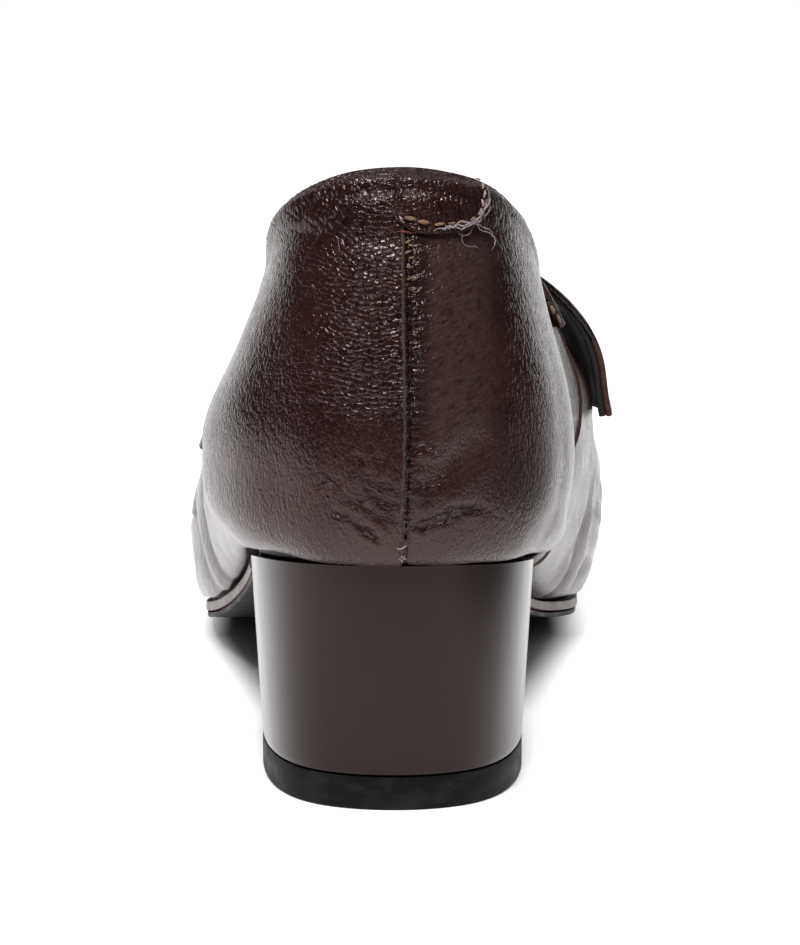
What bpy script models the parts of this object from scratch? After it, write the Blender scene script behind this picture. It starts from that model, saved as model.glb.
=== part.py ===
"""A left heeled loafer on a 41 mm block heel, at its real size.

Millimetre tables describe the last section by section at the pattern size, and are graded to the
driving dimensions below. +Y runs from heel to toe, +X to the medial side, +Z up. The origin is the
centre of the top piece's flat ground face.
"""

from collections import namedtuple

import bmesh
import bpy
import numpy as np
from mathutils import Vector
from mathutils.bvhtree import BVHTree

# Driving dimensions, in metres
LENGTH = 0.2556  # back of the counter to the tip of the toe
BALL_WIDTH = 0.0838  # over the forepart at its widest
INSTEP = 0.0720  # sole line to the top of the tongue
HEEL_HEIGHT = 0.0418  # floor to the sole line at the back
TOE_SPRING = 0.0107  # lift of the sole line under the tip of the toe
WALL = 0.0020  # leather and lining of the upper together
GAP = 0.0003  # clearance where two pieces meet

OUTSOLE = 0.0010
MIDSOLE = 0.0019
SOLE_EDGE = 0.0003  # midsole proud of the upper's feather edge
INSOLE = 0.0030
INSOLE_INSET = 0.0020
BREAST = 0.0240  # front face of the heel, at its top
TOP_PIECE = 0.0056
APRON = 0.0018
STRAP = 0.0026

HEEL_TOE_OF_BASE = 0.0205  # front edge of the heel's ground end
HEEL_BACK_OF_BASE = -0.0220
HEEL_BASE_WIDTH = 0.0448
HEEL_INSET = 0.0004  # heel inside the upper's feather edge
STRAP_AXIS_HEIGHT = 0.0400  # the strap wraps round a line at this height above the floor

MM = 0.001
UP = np.array([0.0, 0.0, 1.0])

# The size that the tables below are written for, in millimetres
PATTERN_LENGTH = 255.6
PATTERN_BALL = 83.8
PATTERN_INSTEP = 72.0

# One row for each section, from the back centre to the toe, in millimetres and degrees:
# along, edge: where the feather edge lies, along the shoe and across it
# bulge, height: how far the wall swells past that edge, and how high above it
# full: how straight the wall rises from its widest point, as a share of the way up
# top_across, top_along, top_rise: the wall's upper end, its rise taken from the sole line under
#     it: the topline as far as the throat, and the ridge of the vamp from THROAT_ROW on
# lean, flat: how far the wall leans inward at that end, and for what share of its length
Section = namedtuple(
    "Section", "along edge bulge height full top_across top_along top_rise lean flat"
)
BACK = Section(-26.5, 0.0, 4.5, 17, 0.50, 0.0, -22.0, 63.9, 10, 0.33)
TOE = Section(221.0, 5.0, 3.5, 11, 0.55, 5.0, 201.0, 24.9, 90, 0.37)
LATERAL = [
    Section(-21.5, -14.5, 5.8, 18, 0.42, -13.7, -17.5, 61.0, 8, 0.33),
    Section(-4.0, -23.3, 8.1, 19, 0.28, -21.2, -1.0, 53.6, 3, 0.34),
    Section(24.0, -25.6, 7.6, 21, 0.32, -24.0, 26.0, 46.0, 4, 0.30),
    Section(55.0, -28.3, 5.8, 21, 0.36, -27.2, 57.0, 44.4, 16, 0.30),
    Section(94.0, -35.6, 3.1, 17, 0.23, 5.0, 72.0, 71.7, 90, 0.24),
    Section(103.0, -37.2, 3.0, 16, 0.22, 5.0, 79.5, 70.6, 90, 0.23),
    Section(112.0, -38.1, 2.8, 15, 0.21, 5.0, 88.0, 69.0, 90, 0.22),
    Section(121.0, -38.6, 2.7, 15, 0.22, 5.0, 97.0, 67.1, 90, 0.22),
    Section(140.0, -38.0, 2.9, 14, 0.28, 5.0, 116.0, 60.8, 90, 0.26),
    Section(162.0, -35.0, 3.4, 13, 0.42, 5.2, 140.0, 49.8, 90, 0.31),
    Section(188.0, -28.0, 3.6, 12, 0.50, 5.5, 169.0, 37.8, 90, 0.34),
    Section(208.0, -17.0, 3.6, 11, 0.55, 5.3, 190.5, 29.3, 90, 0.37),
    Section(218.5, -6.0, 3.6, 11, 0.55, 5.1, 199.0, 25.6, 90, 0.37),
]
MEDIAL = [
    Section(-21.5, 14.5, 5.8, 18, 0.42, 14.1, -17.5, 61.7, 9, 0.33),
    Section(-4.0, 23.0, 7.8, 19, 0.34, 22.0, -1.0, 55.5, 11, 0.33),
    Section(24.0, 24.4, 7.5, 20, 0.38, 25.9, 26.0, 48.0, 11, 0.30),
    Section(55.0, 23.4, 8.4, 25, 0.46, 29.2, 57.0, 48.0, 18, 0.32),
    Section(92.0, 28.4, 8.6, 25, 0.56, 5.0, 72.0, 71.7, 90, 0.37),
    Section(102.0, 31.2, 7.6, 24, 0.50, 5.0, 79.5, 70.6, 90, 0.35),
    Section(112.0, 34.2, 6.5, 23, 0.46, 5.0, 88.0, 69.0, 90, 0.33),
    Section(121.0, 36.2, 5.5, 22, 0.44, 5.0, 97.0, 67.1, 90, 0.32),
    Section(140.0, 38.3, 4.1, 20, 0.42, 5.0, 116.0, 60.8, 90, 0.31),
    Section(162.0, 37.4, 3.8, 17, 0.44, 5.2, 140.0, 49.8, 90, 0.32),
    Section(188.0, 32.5, 3.6, 14, 0.50, 5.5, 169.0, 37.8, 90, 0.34),
    Section(208.0, 23.5, 3.6, 12, 0.55, 5.3, 190.5, 29.3, 90, 0.37),
    Section(218.0, 14.5, 3.6, 11, 0.55, 5.1, 199.0, 25.6, 90, 0.37),
]
THROAT_ROW = 5  # the section that holds the throat's corner, and above it the tongue's edge
TOE_ROW = len(LATERAL) + 1
LATERAL_CORNER = 0.40  # where the corner lies on that section, as a share of its upper part
MEDIAL_CORNER = 0.36
COLUMNS_PER_ROW = [3, 4, 6, 7, 8, 2, 2, 2, 4, 5, 6, 5, 3, 2]
FOOT_FLARE = 0.6  # how far the wall runs out level from the feather edge, as a share of its bulge
LOW_FULLNESS = 0.6  # how straight it then comes up to its widest point
RIDGE_REACH = 0.02  # step, in section numbers, over which the ridge's slope is measured
EDGE_REACH = 0.0005  # the same round the feather edge, in metres
PLAN_POINTS = 1200  # points of the feather edge that its plan is read from
LOW_FACES = 4  # faces from the feather edge to the widest point
SIDE_FACES = 5  # faces from there to the topline or the apron's seam
APRON_FACES = 6  # faces from the seam to the ridge

# The sole line: shares of the heel's lift and of the toe's spring, along the shoe in millimetres
SoleLine = namedtuple("SoleLine", "along heel_share toe_share")
SOLE_LINE = [
    SoleLine(-60, 1.03, 0.0),
    SoleLine(-27, 1.00, 0.0),
    SoleLine(-12, 0.958, 0.0),
    SoleLine(4, 0.895, 0.0),
    SoleLine(24, 0.785, 0.0),
    SoleLine(50, 0.581, 0.0),
    SoleLine(75, 0.356, 0.0),
    SoleLine(100, 0.176, 0.0),
    SoleLine(120, 0.078, 0.0),
    SoleLine(138, 0.012, 0.0),
    SoleLine(148, 0.0, 0.0),
    SoleLine(165, 0.0, 0.0),
    SoleLine(182, 0.0, 0.145),
    SoleLine(200, 0.0, 0.47),
    SoleLine(222, 0.0, 1.0),
    SoleLine(250, 0.0, 1.65),
]

# Where the apron's seam crosses each section beyond the throat's corner, as a share of the wall
# above its widest point
ApronEdge = namedtuple("ApronEdge", "row lateral medial")
APRON_EDGE = [
    ApronEdge(5, LATERAL_CORNER, MEDIAL_CORNER),
    ApronEdge(6, 0.42, 0.41),
    ApronEdge(7, 0.44, 0.44),
    ApronEdge(8, 0.45, 0.46),
    ApronEdge(9, 0.47, 0.48),
    ApronEdge(10, 0.48, 0.48),
    ApronEdge(11, 0.49, 0.49),
    ApronEdge(12, 0.53, 0.53),
    ApronEdge(13, 0.57, 0.57),
    ApronEdge(14, 0.59, 0.59),
]

# The saddle strap from its lateral end to its medial end: angle from the vertical in degrees,
# then place along the shoe, half width and clearance from the upper in millimetres
StrapSection = namedtuple("StrapSection", "angle along half_width clearance")
STRAP_SECTIONS = [
    StrapSection(-88, 107.0, 12.0, 0.5),
    StrapSection(-76, 106.0, 12.5, 2.4),
    StrapSection(-58, 105.0, 12.0, 3.7),
    StrapSection(-35, 104.5, 10.5, 3.4),
    StrapSection(0, 104.0, 9.5, 3.1),
    StrapSection(35, 104.5, 10.5, 3.3),
    StrapSection(55, 105.0, 12.0, 3.6),
    StrapSection(70, 106.0, 12.5, 3.0),
    StrapSection(81, 107.0, 12.0, 2.6),
]
TIP_FLAT = 0.00015  # a layer's rounded end stops this short, on a narrow flat
INSOLE_FACES = 48  # faces along each layer
SOLE_FACES = 40
HEEL_FACES = 22
STRAP_FACES = 30
STRAP_FACES_ACROSS = 4


def spline(knots, values, at, closed=False):
    """A cubic spline through values at knots; closed joins its end to its start smoothly."""
    knots = np.asarray(knots, float)
    values = np.asarray(values, float).reshape(len(knots), -1)
    step = np.diff(knots)
    count = len(knots)
    if closed:
        size = count - 1
        before = np.roll(step, 1)
        rate = np.diff(values, axis=0) / step[:, None]
        change = rate - np.roll(rate, 1, axis=0)
        system = np.diag(2 * (before + step))
        for i in range(size):
            system[i, i - 1] += before[i]
            system[i, (i + 1) % size] += step[i]
        bend = np.linalg.solve(system, 6 * change)
        bend = np.vstack([bend, bend[:1]])
    else:
        system = np.eye(count)
        change = np.zeros_like(values)
        rate = np.diff(values, axis=0) / step[:, None]
        for i in range(1, count - 1):
            system[i, i - 1 : i + 2] = step[i - 1], 2 * (step[i - 1] + step[i]), step[i]
            change[i] = rate[i] - rate[i - 1]
        bend = np.linalg.solve(system, 6 * change)
    at = np.asarray(at, float)
    left = np.clip(np.searchsorted(knots, at, side="right") - 1, 0, count - 2)
    width = (knots[left + 1] - knots[left])[:, None]
    a = (knots[left + 1] - at)[:, None] / width
    b = 1 - a
    curve = (a**3 - a) * bend[left] + (b**3 - b) * bend[left + 1]
    return a * values[left] + b * values[left + 1] + curve * width**2 / 6


def bezier(start, first, second, end, shares):
    """Cubic Bezier arcs, one for each row of the four point arrays, sampled at the shares."""
    t = np.asarray(shares, float)[..., None]
    u = 1 - t
    points = [p[:, None] for p in (start, first, second, end)]
    return (
        u**3 * points[0]
        + 3 * u**2 * t * points[1]
        + 3 * u * t**2 * points[2]
        + t**3 * points[3]
    )


def sole_line(along):
    """Height of the feather edge above the floor, at places along the shoe in metres."""
    thickness = OUTSOLE + MIDSOLE + 2 * GAP
    graded = np.array([row.along for row in SOLE_LINE]) * LENGTH / PATTERN_LENGTH
    shares = [(row.heel_share, row.toe_share) for row in SOLE_LINE]
    along = np.asarray(along, float)
    heel_share, toe_share = spline(graded, shares, along.ravel()).T
    lift = heel_share * (HEEL_HEIGHT - thickness) + toe_share * TOE_SPRING
    return (thickness + np.maximum(lift, 0)).reshape(along.shape)


def graded_rows(rows):
    """The sections as an array in metres, graded from the pattern size to the real one."""
    along = LENGTH / PATTERN_LENGTH
    across = BALL_WIDTH / PATTERN_BALL
    rise = INSTEP / PATTERN_INSTEP
    return np.array(rows) * [along, across, across, rise, 1, across, along, rise, 1, 1]


def split(start, first, second, end, share):
    """Control points of the part of a Bezier arc below a share of it."""
    one = start + share * (first - start)
    middle = first + share * (second - first)
    three = second + share * (end - second)
    two = one + share * (middle - one)
    four = middle + share * (three - middle)
    return start, one, two, two + share * (four - two)


class Last:
    """The shape of the upper: a loop of sections, each a curve from feather edge to top.

    A section is found by its row number, 0 at the back centre to TOE_ROW at the toe, and by its
    side. Places count round the whole feather edge: along the lateral side, back along the medial.
    """

    def __init__(self):
        loop = [BACK] + LATERAL + [TOE] + MEDIAL[::-1] + [BACK]
        self.rows = graded_rows(loop)
        plan = self.rows[:, [1, 0]]
        steps = np.linalg.norm(np.diff(plan, axis=0), axis=1)
        self.knots = np.concatenate([[0], np.cumsum(steps)])
        self.around = self.knots[-1]
        self.opening_knots, self.opening_ends = self.opening()

    def places(self, row_numbers, medial):
        """Places round the feather edge of sections on one side."""
        side_knots = self.knots[::-1] if medial else self.knots
        return np.interp(row_numbers, np.arange(TOE_ROW + 1), side_knots[: TOE_ROW + 1])

    def feather_edge(self, places):
        """The feather edge in plan, and its outward normal there."""
        points = spline(self.knots, self.rows[:, :2], places % self.around, closed=True)
        next_places = (places + EDGE_REACH) % self.around
        ahead = spline(self.knots, self.rows[:, :2], next_places, closed=True)
        tangent = ahead - points
        tangent /= np.linalg.norm(tangent, axis=1)[:, None]
        along, across = points.T
        return across, along, -tangent[:, 0], tangent[:, 1]

    def low_part(self, places):
        """Foot and widest point of each section, how full it is, and its outward normal."""
        wall = spline(self.knots, self.rows[:, :5], places % self.around, closed=True)
        along, edge, bulge, height, full = wall.T
        _, _, normal_across, normal_along = self.feather_edge(places)
        outward = np.stack([normal_across, normal_along, np.zeros_like(along)], axis=1)
        foot = np.stack([edge, along, sole_line(along)], axis=1)
        widest = foot + outward * bulge[:, None] + UP * height[:, None]
        return foot, widest, full, outward

    def upper_part(self, places, tops, slope):
        """Control points from the widest point to given upper ends and leans."""
        _, widest, full, outward = self.low_part(places)
        across, along, rise, lean, flat = tops.T
        end = np.stack([across, along, sole_line(along) + rise], axis=1)
        lean = np.radians(lean)[:, None]
        inward = -outward - UP * (outward[:, 1] * slope)[:, None]
        tangent = np.cos(lean) * UP + np.sin(lean) * inward
        tangent /= np.linalg.norm(tangent, axis=1)[:, None]
        climb = (end - widest)[:, 2]
        reach = -((end - widest) * outward).sum(axis=1)
        handle = flat * np.hypot(climb, reach)
        return widest, widest + UP * (full * climb)[:, None], end - tangent * handle[:, None], end

    def front(self, row_numbers, medial):
        """Control points of the sections that reach the ridge."""
        numbers = np.arange(THROAT_ROW, TOE_ROW + 1)
        table = self.rows[THROAT_ROW : TOE_ROW + 1, 5:]

        def ridge(at):
            tops = spline(numbers, table, np.clip(at, THROAT_ROW, TOE_ROW))
            return tops, tops[:, 1], sole_line(tops[:, 1]) + tops[:, 2]

        _, ahead, height_ahead = ridge(row_numbers + RIDGE_REACH)
        _, behind, height_behind = ridge(row_numbers - RIDGE_REACH)
        slope = (height_ahead - height_behind) / (ahead - behind)
        return self.upper_part(self.places(row_numbers, medial), ridge(row_numbers)[0], slope)

    def opening(self):
        """Places and control points of the sections round the opening, corner to corner."""
        throat = np.array([float(THROAT_ROW)])
        corners = []
        for medial, share in ((True, MEDIAL_CORNER), (False, LATERAL_CORNER)):
            corners.append([part[0] for part in split(*self.front(throat, medial), share)])
        first = len(self.knots) - THROAT_ROW
        numbers = np.r_[first : len(self.knots) - 1, 0:THROAT_ROW]
        places = np.where(numbers >= first, self.knots[numbers] - self.around, self.knots[numbers])
        parts = self.upper_part(places, self.rows[numbers, 5:], np.zeros(len(numbers)))
        ends = np.stack(parts, axis=1)
        ends = np.concatenate([[corners[0]], ends, [corners[1]]])
        start = self.knots[first - 1] - self.around
        return np.concatenate([[start], places, [self.knots[THROAT_ROW]]]), ends

    def surface(self, row_numbers, medial, low_shares, high_shares):
        """A grid of points on one side: a column for each row number, from the bottom up.

        low_shares run from the feather edge to the widest point, and high_shares, one list for
        each column, from there to the top. The rows lie all behind the throat or all beyond it.
        """
        places = self.places(row_numbers, medial)
        foot, widest, _, outward = self.low_part(places)
        bulge = ((widest - foot) * outward).sum(axis=1)[:, None]
        height = (widest - foot)[:, 2:]
        low = bezier(
            foot,
            foot + outward * FOOT_FLARE * bulge,
            widest - UP * LOW_FULLNESS * height,
            widest,
            np.broadcast_to(low_shares, (len(places), len(low_shares))),
        )
        if row_numbers[-1] <= THROAT_ROW:
            wrapped = places - self.around if medial else places
            flat = self.opening_ends.reshape(len(self.opening_knots), -1)
            parts = spline(self.opening_knots, flat, wrapped).reshape(-1, 4, 3)
            rise = (parts[:, 1] - parts[:, 0])[:, 2:]
            arcs = widest, widest + UP * rise, parts[:, 2], parts[:, 3]
        else:
            arcs = self.front(row_numbers, medial)
        return np.concatenate([low, bezier(*arcs, high_shares)], axis=1)

    def plan_edge(self, alongs, outset):
        """Lateral and medial sides of the feather edge moved outward, at places along the shoe."""
        places = np.linspace(0, self.around, PLAN_POINTS, endpoint=False)
        across, along, normal_across, normal_along = self.feather_edge(places)
        across = across + normal_across * outset
        along = along + normal_along * outset
        back, front = np.argmin(along), np.argmax(along)
        order = np.roll(np.arange(len(places)), -back)
        turn = (front - back) % len(places)
        lateral = order[: turn + 1]
        medial = np.append(order[turn:], order[0])[::-1]
        return (
            np.interp(alongs, along[lateral], across[lateral]),
            np.interp(alongs, along[medial], across[medial]),
        )

    def ends(self, outset):
        """How far back and how far forward the feather edge reaches, moved outward."""
        places = np.linspace(0, self.around, PLAN_POINTS, endpoint=False)
        _, along, _, normal_along = self.feather_edge(places)
        along = along + normal_along * outset
        return along.min(), along.max()


def material(name, color, roughness, metallic=0.0):
    made = bpy.data.materials.new(name)
    made.use_nodes = True
    shader = made.node_tree.nodes["Principled BSDF"]
    shader.inputs["Base Color"].default_value = (*color, 1.0)
    shader.inputs["Roughness"].default_value = roughness
    shader.inputs["Metallic"].default_value = metallic
    return made


def add_object(name, bm, surface):
    mesh = bpy.data.meshes.new(name)
    bm.to_mesh(mesh)
    bm.free()
    mesh.materials.append(surface)
    mesh.shade_smooth()
    mesh.set_sharp_from_angle(angle=np.radians(40))
    made = bpy.data.objects.new(name, mesh)
    bpy.context.collection.objects.link(made)
    return made


def add_grid(bm, grid, flipped=False):
    """Faces between neighbouring points of a grid; returns its vertices in rows."""
    rows = [[bm.verts.new(point) for point in row] for row in grid]
    for near, far in zip(rows, rows[1:]):
        for i in range(len(near) - 1):
            corners = [near[i], near[i + 1], far[i + 1], far[i]]
            bm.faces.new(corners[::-1] if flipped else corners)
    return rows


def slab(name, lower, upper, surface):
    """A closed solid between two grids of the same size."""
    bm = bmesh.new()
    below = add_grid(bm, lower)
    above = add_grid(bm, upper, flipped=True)

    def border(rows):
        return (
            rows[0]
            + [row[-1] for row in rows[1:-1]]
            + rows[-1][::-1]
            + [row[0] for row in rows[-2:0:-1]]
        )

    ring, top_ring = border(below), border(above)
    for i in range(len(ring)):
        j = (i + 1) % len(ring)
        bm.faces.new([ring[j], ring[i], top_ring[i], top_ring[j]])
    bmesh.ops.recalc_face_normals(bm, faces=bm.faces)
    return add_object(name, bm, surface)


def column_rows(first_row, last_row):
    """Row numbers of the mesh's columns between two rows."""
    counts = list(enumerate(COLUMNS_PER_ROW))[first_row:last_row]
    numbers = [np.linspace(i, i + 1, n, endpoint=False) for i, n in counts]
    return np.append(np.concatenate(numbers), float(last_row))


def add_front(bm, last, first_face):
    """The surface beyond the throat, both sides, from a face number of its columns upward."""
    row_numbers = column_rows(THROAT_ROW, TOE_ROW)
    table = np.array(APRON_EDGE)
    low_shares = np.linspace(0, 1, LOW_FACES + 1)
    for medial in (False, True):
        seam = np.interp(row_numbers, table[:, 0], table[:, 2 if medial else 1])[:, None]
        below = seam * np.linspace(0, 1, SIDE_FACES + 1)[1:]
        above = seam + (1 - seam) * np.linspace(0, 1, APRON_FACES + 1)[1:]
        grid = last.surface(row_numbers, medial, low_shares, np.hstack([below, above]))
        add_grid(bm, grid[:, first_face:], flipped=medial)


def add_back(bm, last):
    """The surface round the heel, from throat corner to throat corner."""
    row_numbers = column_rows(0, THROAT_ROW)
    low_shares = np.linspace(0, 1, LOW_FACES + 1)
    high_shares = np.tile(np.linspace(0, 1, SIDE_FACES + 1)[1:], (len(row_numbers), 1))
    for medial in (False, True):
        grid = last.surface(row_numbers, medial, low_shares, high_shares)
        add_grid(bm, grid, flipped=medial)


def weld(bm):
    bmesh.ops.remove_doubles(bm, verts=bm.verts, dist=1e-6)
    bm.normal_update()


def thicken(made, thickness, outward):
    solidify = made.modifiers.new("Wall", "SOLIDIFY")
    solidify.thickness = thickness
    solidify.offset = 1 if outward else -1


def build_upper(last, surface):
    """One hollow wall, open at the topline and underneath."""
    bm = bmesh.new()
    add_back(bm, last)
    add_front(bm, last, 0)
    weld(bm)
    outside = BVHTree.FromBMesh(bm)
    thicken(add_object("upper", bm, surface), WALL, outward=False)
    return outside


def build_apron(last, surface):
    """The raised plug on the vamp, with the tongue's face, over the upper's own surface."""
    bm = bmesh.new()
    add_front(bm, last, LOW_FACES + SIDE_FACES)
    weld(bm)
    for vertex in bm.verts:
        vertex.co += vertex.normal * GAP
    thicken(add_object("apron", bm, surface), APRON, outward=True)


def eased(start, end, faces):
    """Places from start to end, closer together towards both."""
    return start + (end - start) * (1 - np.cos(np.linspace(0, np.pi, faces + 1))) / 2


def eased_end(start, end, faces):
    """Places from start to end, closer together towards the end."""
    return start + (end - start) * np.sin(np.linspace(0, np.pi / 2, faces + 1))


def layer(last, alongs, outset, height):
    """A sheet at a height that depends on the place along the shoe, two points wide."""
    lateral, medial = last.plan_edge(alongs, outset)
    heights = height(alongs)
    sides = [np.stack([across, alongs, heights], axis=1) for across in (lateral, medial)]
    return np.stack(sides, axis=1)


def build_sole(last, insole_surface, midsole_surface, outsole_surface):
    """Insole inside the upper, midsole and outsole under it from the heel's breast to the toe."""
    back, front = last.ends(-INSOLE_INSET)
    alongs = eased(back + TIP_FLAT, front - TIP_FLAT, INSOLE_FACES)
    bottom = layer(last, alongs, -INSOLE_INSET, sole_line)
    top = bottom + np.array([0, 0, INSOLE])
    slab("insole", bottom, top, insole_surface)

    front = last.ends(SOLE_EDGE)[1]
    alongs = eased_end(BREAST + GAP, front - TIP_FLAT, SOLE_FACES)
    top = layer(last, alongs, SOLE_EDGE, sole_line) - np.array([0, 0, GAP])
    bottom = top - np.array([0, 0, MIDSOLE])
    slab("midsole", bottom, top, midsole_surface)

    front = last.ends(SOLE_EDGE / 2)[1]
    alongs = eased_end(BREAST + GAP, front - TIP_FLAT, SOLE_FACES)
    top = layer(last, alongs, SOLE_EDGE / 2, sole_line) - np.array([0, 0, MIDSOLE + 2 * GAP])
    bottom = top - np.array([0, 0, OUTSOLE])
    slab("outsole", bottom, top, outsole_surface)


def heel_plan(last, height, width_share, back, front):
    """The heel's D-shaped plan at one level: the seat's, narrowed and drawn in."""
    seat_back = last.ends(-HEEL_INSET)[0] + TIP_FLAT
    alongs = eased_end(BREAST, seat_back, HEEL_FACES)[::-1]
    lateral, medial = last.plan_edge(alongs, -HEEL_INSET)
    placed = back + (front - back) * (alongs - seat_back) / (BREAST - seat_back)
    heights = np.full_like(alongs, height)
    sides = [np.stack([x * width_share, placed, heights], axis=1) for x in (lateral, medial)]
    return np.stack(sides, axis=1)


def build_heel(last, heel_surface, top_piece_surface):
    """The covered block under the seat, and the rubber that it stands on."""
    seat_back = last.ends(-HEEL_INSET)[0] + TIP_FLAT
    seat = heel_plan(last, 0, 1, seat_back, BREAST)
    seat[:, :, 2] = sole_line(seat[:, :, 1]) - GAP
    seat_width = np.ptp(seat[:, :, 0])
    share = HEEL_BASE_WIDTH / seat_width
    base = heel_plan(last, TOP_PIECE + GAP, share, HEEL_BACK_OF_BASE, HEEL_TOE_OF_BASE)
    slab("heel", base, seat, heel_surface)
    top = base - np.array([0, 0, GAP])
    ground = top - np.array([0, 0, TOP_PIECE])
    slab("top_piece", ground, top, top_piece_surface)


def build_strap(outside, surface):
    """A band over the instep that follows the upper at a small clearance, its ends free."""
    table = np.array(STRAP_SECTIONS)
    angles = np.linspace(table[0, 0], table[-1, 0], STRAP_FACES + 1)
    along, half_width, clearance = (spline(table[:, 0], table[:, 1:], angles) * MM).T
    across = np.linspace(-1, 1, STRAP_FACES_ACROSS + 1)
    inner = np.empty((len(angles), len(across), 3))
    outer = np.empty_like(inner)
    for i, angle in enumerate(np.radians(angles)):
        direction = Vector((np.sin(angle), 0, np.cos(angle)))
        for j, share in enumerate(across):
            start = Vector((0, along[i] + share * half_width[i], STRAP_AXIS_HEIGHT))
            hit = outside.ray_cast(start, direction)[0]
            inner[i, j] = hit + direction * clearance[i]
            outer[i, j] = hit + direction * (clearance[i] + STRAP)
    slab("strap", inner, outer, surface)


def main():
    for old in list(bpy.data.objects):
        bpy.data.objects.remove(old)
    leather = material("leather", (0.055, 0.032, 0.028), 0.35)
    quilted = material("quilted leather", (0.060, 0.035, 0.030), 0.38)
    lining = material("lining", (0.300, 0.210, 0.140), 0.75)
    edge = material("sole edge", (0.110, 0.070, 0.050), 0.40)
    lacquer = material("heel lacquer", (0.045, 0.030, 0.027), 0.22)
    rubber = material("rubber", (0.012, 0.012, 0.012), 0.60)
    last = Last()
    outside = build_upper(last, leather)
    build_apron(last, quilted)
    build_sole(last, lining, edge, rubber)
    build_heel(last, lacquer, rubber)
    build_strap(outside, leather)


main()
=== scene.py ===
import bpy
import numpy as np
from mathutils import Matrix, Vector


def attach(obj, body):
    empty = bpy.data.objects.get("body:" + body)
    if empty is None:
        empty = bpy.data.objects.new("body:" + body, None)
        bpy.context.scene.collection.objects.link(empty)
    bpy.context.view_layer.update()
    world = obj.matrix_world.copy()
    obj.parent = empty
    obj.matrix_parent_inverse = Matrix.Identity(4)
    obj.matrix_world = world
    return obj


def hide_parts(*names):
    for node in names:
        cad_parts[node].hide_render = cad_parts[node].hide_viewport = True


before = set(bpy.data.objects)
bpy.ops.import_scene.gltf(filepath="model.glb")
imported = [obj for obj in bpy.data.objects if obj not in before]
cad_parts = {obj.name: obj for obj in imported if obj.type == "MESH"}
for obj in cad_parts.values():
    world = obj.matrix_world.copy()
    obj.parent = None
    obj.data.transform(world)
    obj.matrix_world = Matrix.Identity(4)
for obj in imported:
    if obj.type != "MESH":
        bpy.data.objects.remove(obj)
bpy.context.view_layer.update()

mm = 0.001
up = np.array([0.0, 0.0, 1.0])

# the last: every piece is worked out from these sizes, in metres
last = {
    "length": 0.2556,
    "ballWidth": 0.0838,
    "instep": 0.0720,
    "heelHeight": 0.0418,
    "toeSpring": 0.0107,
    "wall": 0.0020,
    "gap": 0.0003,
    "outsole": 0.0010,
    "midsole": 0.0019,
    "insole": 0.0030,
    "throatRow": 5,  # the section at the throat
    # how far up the wall the throat's corners lie, as shares
    "lateralCorner": 0.40,
    "medialCorner": 0.36,
    # how full the wall is below its widest point, as shares of its bulge and height
    "footFlare": 0.6,
    "lowFullness": 0.6,
}
patternSize = {"length": 255.6, "ballWidth": 83.8, "instep": 72.0}  # mm that the tables are for

# along, edge, bulge, height, full, topAcross, topAlong, topRise, lean, flat
backSection = [-26.5, 0.0, 4.5, 17, 0.50, 0.0, -22.0, 63.9, 10, 0.33]
toeSection = [221.0, 5.0, 3.5, 11, 0.55, 5.0, 201.0, 24.9, 90, 0.37]
lateralSections = [
    [-21.5, -14.5, 5.8, 18, 0.42, -13.7, -17.5, 61.0, 8, 0.33],
    [-4.0, -23.3, 8.1, 19, 0.28, -21.2, -1.0, 53.6, 3, 0.34],
    [24.0, -25.6, 7.6, 21, 0.32, -24.0, 26.0, 46.0, 4, 0.30],
    [55.0, -28.3, 5.8, 21, 0.36, -27.2, 57.0, 44.4, 16, 0.30],
    [94.0, -35.6, 3.1, 17, 0.23, 5.0, 72.0, 71.7, 90, 0.24],
    [103.0, -37.2, 3.0, 16, 0.22, 5.0, 79.5, 70.6, 90, 0.23],
    [112.0, -38.1, 2.8, 15, 0.21, 5.0, 88.0, 69.0, 90, 0.22],
    [121.0, -38.6, 2.7, 15, 0.22, 5.0, 97.0, 67.1, 90, 0.22],
    [140.0, -38.0, 2.9, 14, 0.28, 5.0, 116.0, 60.8, 90, 0.26],
    [162.0, -35.0, 3.4, 13, 0.42, 5.2, 140.0, 49.8, 90, 0.31],
    [188.0, -28.0, 3.6, 12, 0.50, 5.5, 169.0, 37.8, 90, 0.34],
    [208.0, -17.0, 3.6, 11, 0.55, 5.3, 190.5, 29.3, 90, 0.37],
    [218.5, -6.0, 3.6, 11, 0.55, 5.1, 199.0, 25.6, 90, 0.37],
]
medialSections = [
    [-21.5, 14.5, 5.8, 18, 0.42, 14.1, -17.5, 61.7, 9, 0.33],
    [-4.0, 23.0, 7.8, 19, 0.34, 22.0, -1.0, 55.5, 11, 0.33],
    [24.0, 24.4, 7.5, 20, 0.38, 25.9, 26.0, 48.0, 11, 0.30],
    [55.0, 23.4, 8.4, 25, 0.46, 29.2, 57.0, 48.0, 18, 0.32],
    [92.0, 28.4, 8.6, 25, 0.56, 5.0, 72.0, 71.7, 90, 0.37],
    [102.0, 31.2, 7.6, 24, 0.50, 5.0, 79.5, 70.6, 90, 0.35],
    [112.0, 34.2, 6.5, 23, 0.46, 5.0, 88.0, 69.0, 90, 0.33],
    [121.0, 36.2, 5.5, 22, 0.44, 5.0, 97.0, 67.1, 90, 0.32],
    [140.0, 38.3, 4.1, 20, 0.42, 5.0, 116.0, 60.8, 90, 0.31],
    [162.0, 37.4, 3.8, 17, 0.44, 5.2, 140.0, 49.8, 90, 0.32],
    [188.0, 32.5, 3.6, 14, 0.50, 5.5, 169.0, 37.8, 90, 0.34],
    [208.0, 23.5, 3.6, 12, 0.55, 5.3, 190.5, 29.3, 90, 0.37],
    [218.0, 14.5, 3.6, 11, 0.55, 5.1, 199.0, 25.6, 90, 0.37],
]
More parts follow.
